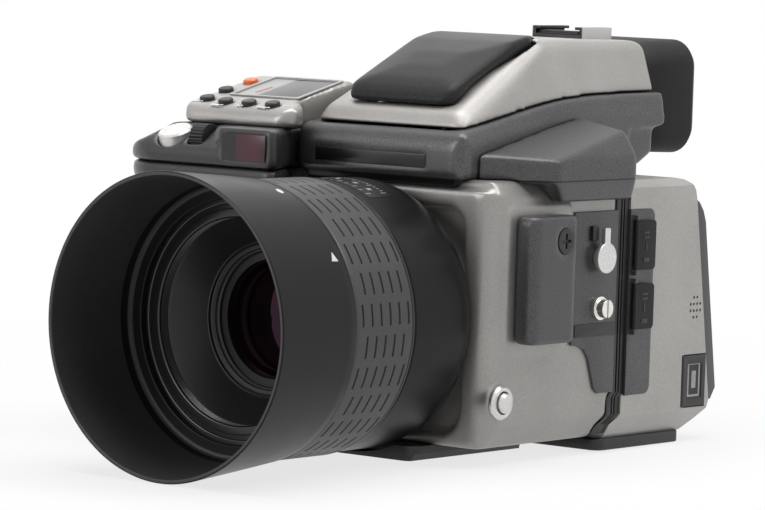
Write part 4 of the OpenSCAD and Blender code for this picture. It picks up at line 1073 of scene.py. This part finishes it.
def floor_paint():
    """Pale floor that keeps the object's shadow and fades into the white background."""
    m, nt, bsdf = blank("floor_white")
    co = coords(nt)
    colour = ramp(nt, noise(nt, co, 3.0), [(0.0, (0.90, 0.90, 0.90)), (1.0, (0.93, 0.93, 0.93))])
    nt.links.new(colour, bsdf.inputs["Base Color"])
    bsdf.inputs["Roughness"].default_value = 0.85
    bsdf.inputs["Specular IOR Level"].default_value = 0.05
    glow = add_node(nt, "Emission", Color=(1, 1, 1, 1), Strength=1.0)
    away = vector_calc(nt, "LENGTH", co)["Value"]
    fade = map_range(nt, away, *SHADOW_ZONE, SHADOW_SHARE, 1.0, "SMOOTHSTEP")
    mix = nt.nodes.new("ShaderNodeMixShader")
    nt.links.new(calc(nt, "MULTIPLY", sees_background(nt), fade), mix.inputs[0])
    nt.links.new(bsdf.outputs[0], mix.inputs[1])
    nt.links.new(glow.outputs[0], mix.inputs[2])
    nt.links.new(mix.outputs[0], nt.nodes["Material Output"].inputs["Surface"])
    return m


def floor():
    """The camera stands on its rear foot and the hood's lip, so the floor is tilted to touch both."""
    o = bpy.data.objects.new("floor", bpy.data.meshes.new("floor"))
    bm = bmesh.new()
    bmesh.ops.create_circle(bm, cap_ends=True, segments=128, radius=FLOOR_RADIUS)
    bm.to_mesh(o.data)
    bm.free()
    lip_r, lip_y = HOOD_LIP
    foot_y = box_mm("rear_foot")[1].y
    lip_z = AXIS_Z - lip_r
    o.rotation_euler = (math.atan2(-lip_z, foot_y - lip_y), 0, 0)
    o.location = (0, 0, lip_z * foot_y / (foot_y - lip_y) * MM - FLOOR_CLEAR)
    bpy.context.scene.collection.objects.link(o)
    o.data.materials.append(floor_paint())


def surroundings():
    """Even dim light all round, which shows as plain white."""
    world = bpy.data.worlds.new("studio")
    bpy.context.scene.world = world
    world.use_nodes = True
    nt = world.node_tree
    nt.nodes.clear()
    out = nt.nodes.new("ShaderNodeOutputWorld")
    dim = add_node(nt, "Background", Color=(1, 1, 1, 1), Strength=AMBIENT)
    white = add_node(nt, "Background", Color=(1, 1, 1, 1), Strength=1.0)
    mix = nt.nodes.new("ShaderNodeMixShader")
    nt.links.new(sees_background(nt), mix.inputs[0])
    nt.links.new(dim.outputs[0], mix.inputs[1])
    nt.links.new(white.outputs[0], mix.inputs[2])
    nt.links.new(mix.outputs[0], out.inputs["Surface"])


def softbox(name, pos, target, wide, high, watts):
    light = bpy.data.lights.new(name, "AREA")
    light.shape = "RECTANGLE"
    light.size = wide
    light.size_y = high
    light.energy = watts
    o = bpy.data.objects.new(name, light)
    o.location = pos
    o.rotation_euler = (Vector(target) - Vector(pos)).to_track_quat("-Z", "Y").to_euler()
    bpy.context.scene.collection.objects.link(o)


floor()
surroundings()
softbox("top_box", (0.0, 0.0, 1.15), (0.0, 0.0, 0.06), 1.0, 0.8, 10.2)
softbox("left_back_box", (-0.95, 0.75, 0.85), (0.0, 0.0, 0.08), 0.9, 0.7, 1.08)
softbox("front_box", (-0.55, -1.45, 0.55), (0.0, -0.05, 0.07), 0.6, 0.7, 6)
softbox("right_box", (0.78, 0.40, 1.10), (0.03, 0.05, 0.07), 0.5, 0.5, 4.5)


# the photograph's camera: its place in metres and the directions of its picture

CAMERA_AT = Vector((0.93441, -1.20388, 0.18037))
CAMERA_RIGHT = Vector((0.77894, 0.62628, 0.03184))
CAMERA_UP = Vector((-0.07262, 0.03966, 0.99657))
CAMERA_AHEAD = Vector((-0.62287, 0.77859, -0.07637))
FOCAL_LENGTH = 212.05
SENSOR_WIDTH = 36.0


def photo_camera():
    cam = bpy.data.cameras.new("photo_camera")
    cam.sensor_width = SENSOR_WIDTH
    cam.lens = FOCAL_LENGTH
    cam.clip_end = 50.0
    o = bpy.data.objects.new("photo_camera", cam)
    rows = zip(CAMERA_RIGHT, CAMERA_UP, -CAMERA_AHEAD, CAMERA_AT)
    o.matrix_world = Matrix((*rows, (0, 0, 0, 1)))
    bpy.context.scene.collection.objects.link(o)
    bpy.context.scene.camera = o


photo_camera()
bpy.context.scene.view_settings.view_transform = "Standard"
